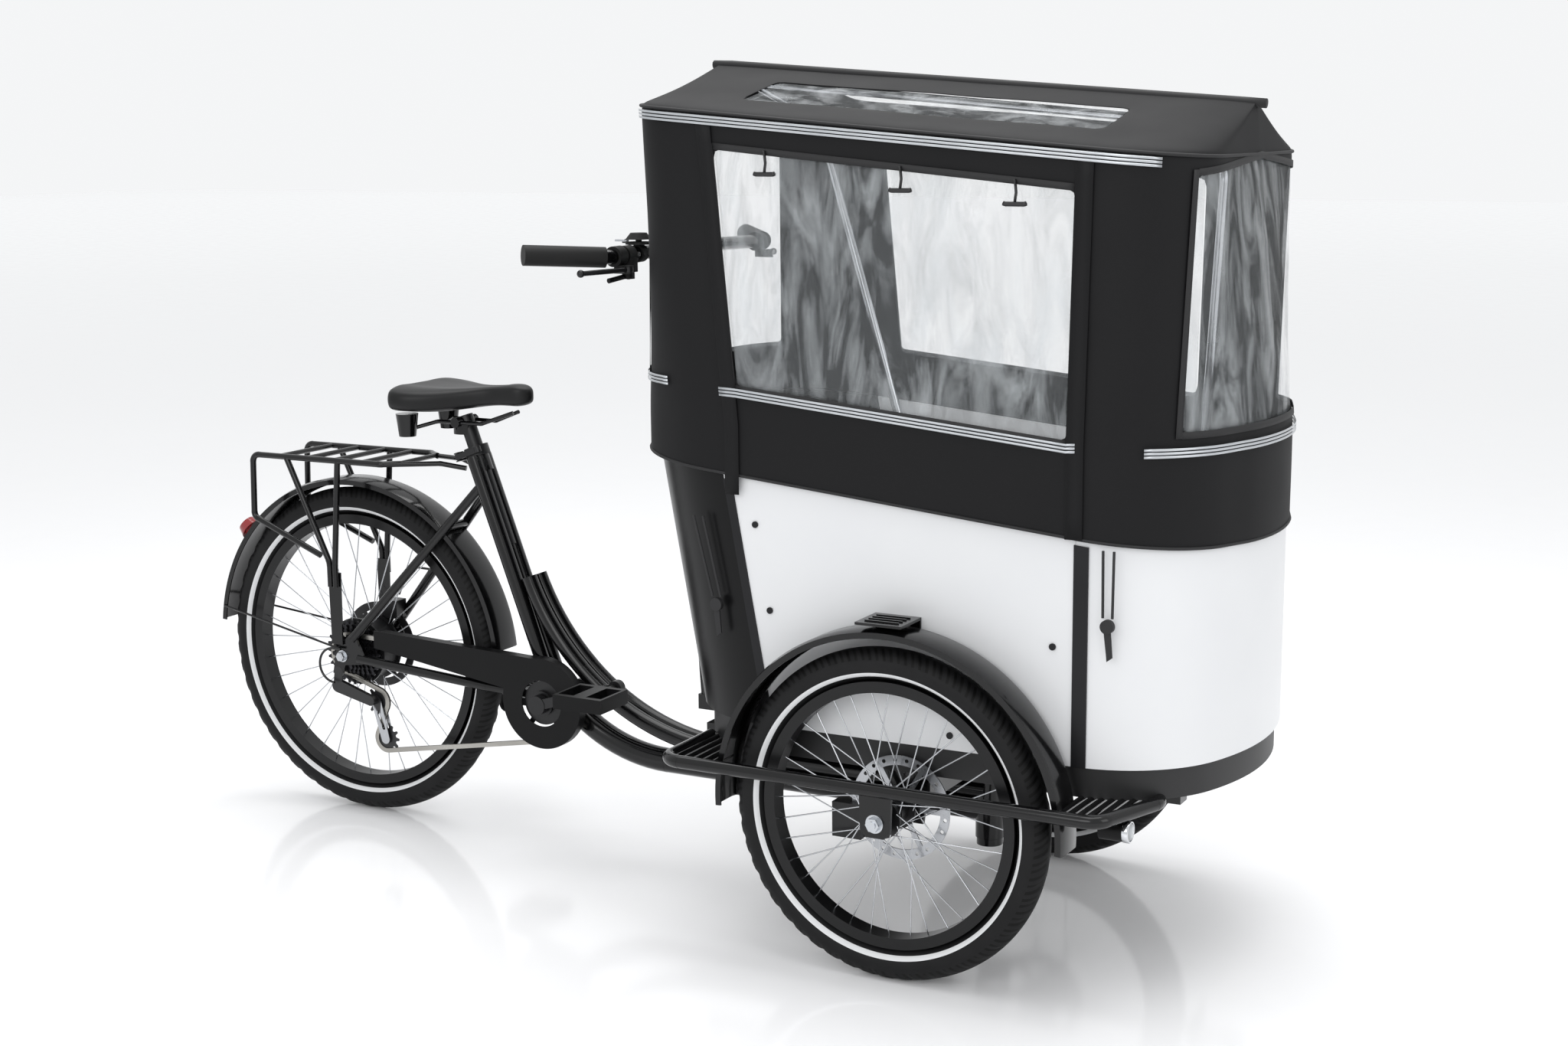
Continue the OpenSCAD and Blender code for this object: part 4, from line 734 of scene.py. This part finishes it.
# Stations round the right half, from the rear's middle to the front's
stations = [
    (0, 0),
    station(lambda x, y: y < -rear_pane_half[0], lambda x, y: y < -rear_pane_half[1]),
    station(lambda x, y: x > side_pane_back[0], lambda x, y: x > side_pane_back[1]),
    station(lambda x, y: x > side_pane_front[0], lambda x, y: x > side_pane_front[1]),
    station(
        lambda x, y: x > nose_x and y > -front_pane_half[0],
        lambda x, y: x > nose_x and y > -front_pane_half[1],
    ),
    (base_lengths[-1], eave_lengths[-1]),
]
station_steps = [10, 16, 26, 12, 14]
columns = []
for (a, b), count in zip(zip(stations, stations[1:]), station_steps):
    for i in range(count):
        t = i / count
        columns.append(
            (
                along(base_plan, base_lengths, a[0] + (b[0] - a[0]) * t),
                along(eave_plan, eave_lengths, a[1] + (b[1] - a[1]) * t),
            )
        )
columns.append((base_plan[-1], eave_plan[-1]))
mirror = [tuple((x, -y) for x, y in pair) for pair in columns[-2:0:-1]]
right_count = len(columns)
columns += mirror
rear_end, side_start, side_end, front_start = (
    station_steps[0],
    sum(station_steps[:2]),
    sum(station_steps[:3]),
    sum(station_steps[:4]),
)


def half_column(i):
    """A column's place counted on the right half."""
    return i if i < right_count else len(columns) - i


def eave_height(x):
    """Height of the eave, which falls towards the front."""
    return eave_back_z - (x - eave_back_x) * eave_slope


def hem_height(x):
    """Height of the hem, which falls towards the front."""
    return 748 - (x - 792.4) * 0.0981


def wall_point(i, z, out=0):
    """The canopy wall's point in column i at height z, moved out by a few mm."""
    (bx, by), (ex, ey) = columns[i % len(columns)]
    top = eave_height(ex)
    t = min(max((z - hem_top) / (top - hem_top), 0), 1)
    (px, py), (qx, qy) = columns[(i - 1) % len(columns)][0], columns[(i + 1) % len(columns)][0]
    side = Vector((qy - py, px - qx)).normalized() * out
    return (bx + (ex - bx) * t + side.x, by + (ey - by) * t + side.y, z)


def sill_height(i):
    """The lower edge of the pane in column i."""
    k = half_column(i)
    x = columns[i % len(columns)][0][0]
    level = hem_height(x) + sill_rise
    if k <= rear_end:
        return rear_sill_z
    if k < side_start:
        t = (k - rear_end) / (side_start - rear_end)
        return rear_sill_z + (hem_height(962) + sill_rise - rear_sill_z) * t
    if k > front_start:
        return front_sill_z
    if k > side_end:
        t = (k - side_end) / (front_start - side_end)
        return hem_height(1482) + sill_rise + (front_sill_z - hem_height(1482) - sill_rise) * t
    return level


def lintel_height(i):
    """The upper edge of the pane in column i."""
    k = half_column(i)
    ex, ey = columns[i % len(columns)][1]
    if k >= front_start:
        return front_lintel_z + 20 * (1 - abs(ey) / 222)
    if k > side_end:
        t = (k - side_end) / (front_start - side_end)
        side_top = hem_height(1490) + sill_rise + side_pane_h
        return side_top + (front_lintel_z - side_top) * t
    if k <= rear_end:
        return rear_lintel_z
    if k < side_start:
        t = (k - rear_end) / (side_start - rear_end)
        return rear_lintel_z + (hem_height(918) + sill_rise + side_pane_h - rear_lintel_z) * t
    return hem_height(ex) + sill_rise + side_pane_h


def ridge_point(ex):
    """The ridge's point in mm that the eave at ex runs up to."""
    x = min(max(ex, eave_back_x + 4), eave_front_x - 4)
    return (x, 0, ridge_z - (x - eave_back_x) * eave_slope * 0.88)


def roof_point(i, q, out=0):
    """The roof's point in column i, q of the way from the eave to the ridge."""
    ex, ey = columns[i % len(columns)][1]
    rx, ry, rz = ridge_point(ex)
    z = eave_height(ex)
    droop = 4 * math.sin(math.pi * q) * min(1, abs(ey) / 200)
    return (ex + (rx - ex) * q, ey + (ry - ey) * q, z + (rz - z) * q - droop + out)


def ripple(p, size_mm, depth_mm):
    """Slack in cloth: a smooth wander of the surface."""
    n = noise.noise(Vector(p) / size_mm)
    return n * depth_mm


def wall_rows(i):
    """Heights of the cloth's rows in column i, from hem to eave."""
    hem = hem_height(columns[i % len(columns)][0][0])
    sill = sill_height(i)
    lintel = lintel_height(i)
    eave = eave_height(columns[i % len(columns)][1][0])
    rows = [hem + (sill - hem) * j / 6 for j in range(6)]
    rows += [sill + (lintel - sill) * j / 14 for j in range(14)]
    rows += [lintel + (eave - 7 - lintel) * j / 3 for j in range(3)]
    return rows + [eave - 7]


roof_shares = [0.02, 0.1, 0.22, 0.34, 0.45, 0.56, 0.66, 0.73, 0.85, 0.96]


def cloth_mesh():
    """The whole canopy as one sheet, and its open panes left out."""
    shape = bmesh.new()
    grid = []
    for i in range(len(columns)):
        line = []
        for z in wall_rows(i):
            p = wall_point(i, z)
            line.append(wall_point(i, z, ripple(p, 90, 1.2)))
        line += [roof_point(i, q, ripple(roof_point(i, q), 120, 1.5)) for q in roof_shares]
        grid.append([shape.verts.new(at(*p)) for p in line])
    ridge = {}
    for i in range(right_count):
        ridge[i] = shape.verts.new(at(*ridge_point(columns[i][1][0])))
    count = len(columns)
    sill_row, lintel_row = 6, 20
    for i in range(count):
        j = (i + 1) % count
        k = min(half_column(i), half_column(j))
        for row in range(len(grid[i]) - 1):
            in_pane = sill_row <= row < lintel_row
            side_pane = side_start <= k < side_end
            end_pane = k < rear_end or k >= front_start
            roof_row = row - 24
            in_roof = side_pane and 3 <= roof_row < 7
            if (in_pane and (side_pane or end_pane)) or in_roof:
                continue
            shape.faces.new((grid[i][row], grid[i][row + 1], grid[j][row + 1], grid[j][row]))
        a, b = ridge[half_column(i)], ridge[half_column(j)]
        shape.faces.new((grid[i][-1], a, b, grid[j][-1]))
    bmesh.ops.remove_doubles(shape, verts=shape.verts, dist=0.0004)
    bmesh.ops.recalc_face_normals(shape, faces=shape.faces)
    mesh = bpy.data.meshes.new("canopy_cloth")
    shape.to_mesh(mesh)
    shape.free()
    return mesh


cloth = bpy.data.objects.new("canopy_cloth", cloth_mesh())
bpy.context.collection.objects.link(cloth)
thicken = cloth.modifiers.new("Thickness", "SOLIDIFY")
thicken.thickness = 0.0015
thicken.offset = -1
smooth(cloth, 1)
# Coated polyester: near black, a soft sheen, and a weave drawn at 1.6 mm
canopy_polyester = grained(
    "Coated black polyester", "#08080A", "#0D0D0F", 1.6, 0.14, (0.6, 0.74), Sheen_Weight=0.01,
    Specular_IOR_Level=0.25,
)
cloth.data.materials.append(canopy_polyester)
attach(cloth, "front_carriage")
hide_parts("canopy")

# ---------------------------------------------------------------- canopy panes
# Clear vinyl film sewn behind the openings: slack, with long soft creases
# where it has been rolled.


def pane_mesh(name, cells, inset):
    """Joins grid cells, each four points in mm, into one pane sheet."""
    shape = bmesh.new()
    for cell in cells:
        shape.faces.new([shape.verts.new(at(*p)) for p in cell])
    bmesh.ops.remove_doubles(shape, verts=shape.verts, dist=0.0004)
    bmesh.ops.recalc_face_normals(shape, faces=shape.faces)
    shape.normal_update()
    for v in shape.verts:
        v.co -= v.normal * inset * (1 if v.normal.dot(v.co - at(1200, 0, 950)) > 0 else -1)
    mesh = bpy.data.meshes.new(name)
    shape.to_mesh(mesh)
    shape.free()
    piece = bpy.data.objects.new(name, mesh)
    bpy.context.collection.objects.link(piece)
    return piece


def wall_cells(first, last):
    """Grid cells of a wall pane between two columns, with its creases."""
    cells = []
    rows = 22

    def spot(i, j):
        low, high = sill_height(i) - 6, lintel_height(i) + 6
        z = low + (high - low) * j / rows
        p = Vector(wall_point(i, z))
        slack = 2.6 * noise.noise(p / 62)
        upright_fold = 1.6 * noise.noise(Vector((p.x / 24, p.y / 24, p.z / 120)))
        return wall_point(i, z, -2.5 + (slack + upright_fold))

    for i in range(first, last):
        for j in range(rows):
            cells.append((spot(i, j), spot(i, j + 1), spot(i + 1, j + 1), spot(i + 1, j)))
    return cells


total = len(columns)
pane_spans = {
    "rear_pane": (-rear_end, rear_end),
    "right_pane": (side_start, side_end),
    "front_pane": (front_start, total - front_start),
    "left_pane": (total - side_end, total - side_start),
}
# Clear vinyl: glassy film whose creases are partly real haze and partly painted highlight: more opaque and
# paler where it crinkles
clear_vinyl, film, film_skin = new_finish(
    "Clear vinyl film",
    {"IOR": 1.53, "Specular IOR Level": 0.9, "Coat Weight": 0.6, "Coat Roughness": 0.03},
)
film_place = add_node(film, "ShaderNodeTexCoord")
# Creases 60 mm apart that run up the film, with finer ones 17 mm apart
film_drawn = add_node(
    film, "ShaderNodeMapping", {"Scale": (1, 1, 0.3)}, {"Vector": film_place.outputs["Object"]}
)
folds = add_node(
    film,
    "ShaderNodeTexNoise",
    {"Scale": 16, "Detail": 6, "Roughness": 0.6, "Distortion": 1.2},
    {"Vector": film_drawn.outputs[0]},
)
ridges = add_node(
    film,
    "ShaderNodeTexNoise",
    {"Scale": 60, "Detail": 4, "Distortion": 2.5},
    {"Vector": film_drawn.outputs[0]},
)
# Opacity rises along the creases: partly haze of the film, partly a painted highlight on the pale base
crease_haze_and_highlight = add_node(
    film,
    "ShaderNodeMapRange",
    {"From Min": 0.42, "From Max": 0.8, "To Min": 0.05, "To Max": 0.34},
    {"Value": folds.outputs[0]},
)
shine = add_node(
    film, "ShaderNodeMapRange", {"To Min": 0.06, "To Max": 0.2}, {"Value": ridges.outputs[0]}
)
crumple = add_node(
    film, "ShaderNodeBump", {"Strength": 0.9, "Distance": 0.008}, {"Height": folds.outputs[0]}
)
crinkle = add_node(
    film,
    "ShaderNodeBump",
    {"Strength": 0.35, "Distance": 0.0015},
    {"Height": ridges.outputs[0], "Normal": crumple.outputs[0]},
)
# Base colour paler along the fine crinkles: a painted highlight
crinkle_highlight_tint = add_node(
    film,
    "ShaderNodeMixRGB",
    {"Color1": linear("#C9D0D4"), "Color2": linear("#E6EAEC")},
    {"Fac": ridges.outputs[0]},
)
film.links.new(crinkle_highlight_tint.outputs[0], film_skin.inputs["Base Color"])
film.links.new(crease_haze_and_highlight.outputs[0], film_skin.inputs["Alpha"])
film.links.new(shine.outputs[0], film_skin.inputs["Roughness"])
film.links.new(crinkle.outputs[0], film_skin.inputs["Normal"])

panes = [pane_mesh(name, wall_cells(*span), 0) for name, span in pane_spans.items()]


def roof_cells(first, last):
    """Grid cells of a roof pane."""
    cells = []
    shares = [0.335 + 0.4 * j / 8 for j in range(9)]

    def spot(i, q):
        p = Vector(roof_point(i, q))
        return roof_point(i, q, -2 + 1.6 * noise.noise(p / 50))

    for i in range(first, last):
        for a, b in zip(shares, shares[1:]):
            cells.append((spot(i, a), spot(i, b), spot(i + 1, b), spot(i + 1, a)))
    return cells


panes.append(pane_mesh("right_roof_pane", roof_cells(side_start, side_end), 0))
panes.append(pane_mesh("left_roof_pane", roof_cells(total - side_end, total - side_start), 0))
for pane in panes:
    film_wall = pane.modifiers.new("Thickness", "SOLIDIFY")
    film_wall.thickness = 0.0006
    smooth(pane, 1)
    pane.data.materials.append(clear_vinyl)
    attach(pane, "front_carriage")
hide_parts("canopy_windows")

# ---------------------------------------------------------------- canopy bindings and tapes
# Folded binding sewn round each pane, a piped seam at the eaves, a turned
# hem, and reflecting tape of three silver lines on black.


def ribbon(name, line_low, line_high, thick):
    """A flat band between two lines of points, given in mm."""
    shape = bmesh.new()
    low = [shape.verts.new(at(*p)) for p in line_low]
    high = [shape.verts.new(at(*p)) for p in line_high]
    for i in range(len(low) - 1):
        shape.faces.new((low[i], high[i], high[i + 1], low[i + 1]))
    mesh = bpy.data.meshes.new(name)
    shape.to_mesh(mesh)
    shape.free()
    piece = bpy.data.objects.new(name, mesh)
    bpy.context.collection.objects.link(piece)
    skin = piece.modifiers.new("Thickness", "SOLIDIFY")
    skin.thickness = thick
    skin.offset = 0
    smooth(piece, 0)
    return piece


def level_band(name, first, last, height, width, out, thick=0.0008):
    """A band round the walls from one column to another."""
    lows = [wall_point(i, height(i), out) for i in range(first, last + 1)]
    highs = [wall_point(i, height(i) + width, out) for i in range(first, last + 1)]
    return ribbon(name, lows, highs, thick)


def upright_band(name, column, low, high, width, out):
    """A band up a wall beside one column."""
    steps = 16
    lows, highs = [], []
    for j in range(steps + 1):
        z = low + (high - low) * j / steps
        x, y, z = wall_point(column, z, out)
        x2, y2, _ = wall_point(column + 1, z, out)
        gap = math.hypot(x2 - x, y2 - y)
        lows.append((x, y, z))
        highs.append((x + (x2 - x) * width / gap, y + (y2 - y) * width / gap, z))
    return ribbon(name, lows, highs, 0.0008)


# Binding tape: woven edge tape, a shade greyer than the cloth
binding_tape = grained("Black binding tape", "#111112", "#19191B", 1.2, 0.12, (0.6, 0.7))
# How far each layer stands out from the cloth, in mm
binding_out = 1.6
flap_out = 3.4
tape_out = 4.3
trims = []
for name, (first, last) in pane_spans.items():
    trims.append(level_band(name + "_sill", first, last, lambda i: sill_height(i) - 9, 10, binding_out))
    trims.append(level_band(name + "_lintel", first, last, lambda i: lintel_height(i) - 1, 10, binding_out))
    for edge, column, width in (("a", first, -10), ("b", last, 10)):
        low, high = sill_height(column) - 8, lintel_height(column) + 8
        trims.append(upright_band(f"{name}_edge_{edge}", column, low, high, width, binding_out))
for trim in trims:
    trim.data.materials.append(binding_tape)


def cord_mesh(name, points, r, sides=8):
    """A closed round cord swept through points in mm."""
    rings = []
    spots = [at(*p) for p in points]
    for i, p in enumerate(spots):
        ahead = (spots[min(i + 1, len(spots) - 1)] - spots[max(i - 1, 0)]).normalized()
        side = ahead.cross(Vector((0, 0, 1)))
        if side.length < 0.1:
            side = ahead.cross(Vector((0, 1, 0)))
        side.normalize()
        up = side.cross(ahead)
        angles = [2 * math.pi * k / sides for k in range(sides)]
        rings.append([p + (side * math.cos(a) + up * math.sin(a)) * r / 1000 for a in angles])
    piece = skin_over(name, rings)
    smooth(piece, 0)
    return piece


def eave_above(i):
    """Height of the eave above column i."""
    return eave_height(columns[i % total][1][0])


def hem_below(i):
    """Height of the hem below column i."""
    return hem_height(columns[i % total][0][0])


def loop_points(height, out):
    """A closed line round the walls at a height that each column gives."""
    return [wall_point(i, height(i), out) for i in range(total)] + [wall_point(0, height(0), out)]


eave_piping = cord_mesh("eave_piping", loop_points(lambda i: eave_above(i) - 3, 0.5), 2.6)
hem_roll = cord_mesh("hem_roll", loop_points(lambda i: hem_below(i) + 2.5, -0.4), 2.4)
ridge_back, ridge_front = ridge_point(eave_back_x), ridge_point(eave_front_x)
ridge_piping = cord_mesh(
    "ridge_sleeve",
    [
        (ridge_back[0] - 12, 0, ridge_back[2] - 1),
        (ridge_back[0] + 20, 0, ridge_back[2] - 2),
        (ridge_front[0] - 20, 0, ridge_front[2] - 1),
        (ridge_front[0] + 14, 0, ridge_front[2] - 4),
    ],
    7,
    12,
)
for cord in (eave_piping, hem_roll, ridge_piping):
    cord.data.materials.append(binding_tape)
    trims.append(cord)

# Door flap: a second layer of cloth that hangs from the eave down the back
# edge of the side pane, a little past the hem, and one narrower in front
for flap_name, column, spread, drop in (
    ("right_door_flap", side_start, -24, 26),
    ("right_post_flap", side_end, 26, 0),
    ("left_door_flap", total - side_start, 24, 26),
    ("left_post_flap", total - side_end, -26, 0),
):
    low = hem_below(column) - drop
    flap = upright_band(flap_name, column, low, eave_above(column) - 12, spread, flap_out)
    flap.data.materials.append(canopy_polyester)
    trims.append(flap)

# Toggles: moulded bars on short loops that hold the rolled pane, three
# under each eave
for side_name, turn in (("right", 1), ("left", -1)):
    for number, share in enumerate((0.16, 0.52, 0.83)):
        column = round(side_start + (side_end - side_start) * share)
        column = column if turn == 1 else total - column
        x, y, z = wall_point(column, lintel_height(column) - 6, 4)
        strap = cord_mesh(
            f"{side_name}_toggle_loop_{number}",
            [(x, y, z + 12), (x + 2, y, z - 6), (x, y, z - 20)],
            2.2,
        )
        bar = cord_mesh(
            f"{side_name}_toggle_bar_{number}",
            [(x - 17, y, z - 21), (x - 14, y, z - 22), (x + 14, y, z - 22), (x + 17, y, z - 21)],
            3.4,
        )
        for piece in (strap, bar):
            piece.data.materials.append(black_acetal)
            trims.append(piece)

# Reflecting tape: glass beads on silver ink, three lines each 3 mm wide
silver_bead_tape = grained(
    "Silver bead tape", "#C9CCCF", "#AEB2B6", 0.9, 0.05, (0.25, 0.35), Metallic=0.85
)
tapes = []


def silver_lines(name, first, last, height):
    """Three silver lines side by side, round the walls between two columns."""
    for line in range(3):
        rise = 5 * line
        tapes.append(
            level_band(f"{name}_{line}", first, last, lambda i: height(i) + rise, 3.4, tape_out, 0.0006)
        )


def under_eave(i):
    """Height of the upper tape's lowest line."""
    return eave_above(i) - 21


def under_sill(i):
    """Height of the lower tape's lowest line."""
    return sill_height(i) - 17


silver_lines("right_upper_line", 14, side_end + 8, under_eave)
silver_lines("left_upper_line", total - side_end - 8, total - 14, under_eave)
silver_lines("right_lower_line", side_start - 2, side_end + 1, under_sill)
silver_lines("left_lower_line", total - side_end - 1, total - side_start + 2, under_sill)
silver_lines("front_line", side_end + 8, total - side_end - 8, lambda i: 797)
silver_lines("rear_line", -(side_start - 9), side_start - 9, lambda i: 864)
for tape in tapes:
    tape.data.materials.append(silver_bead_tape)
    trims.append(tape)
for trim in trims:
    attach(trim, "front_carriage")

# ---------------------------------------------------------------- canopy poles
# Bright steel tube hoops and a ridge bar that push the cloth out.
dress(zinc_plate, "canopy_poles")

# ---------------------------------------------------------------- tension loops
# Elastic loops that pull the hem down to hooks on the strips.

# Braided elastic: black, with a braid 2 mm long
braided_elastic = grained(
    "Black braided elastic", "#151516", "#202022", 2, 0.3, (0.6, 0.7), (1, 1, 2)
)
dress(braided_elastic, "tension_cords")

# ---------------------------------------------------------------- handlebar
# Bent steel bar on an upright post, rubber grips, moulded controls and
# forged brake levers.

# Grip rubber: matt black with a pebbled grain 2 mm wide
grip_rubber = grained(
    "Black grip rubber", "#0B0B0B", "#121212", 2.2, 0.3, (0.55, 0.68), Specular_IOR_Level=0.3
)
dress(powder_coat, "handlebar")
dress(grip_rubber, "hand_controls")
dress(black_anodise, "brake_lever_right", "brake_lever_left")
dress(black_abs, "shift_lever")
dress(zinc_plate, "bell_lever")
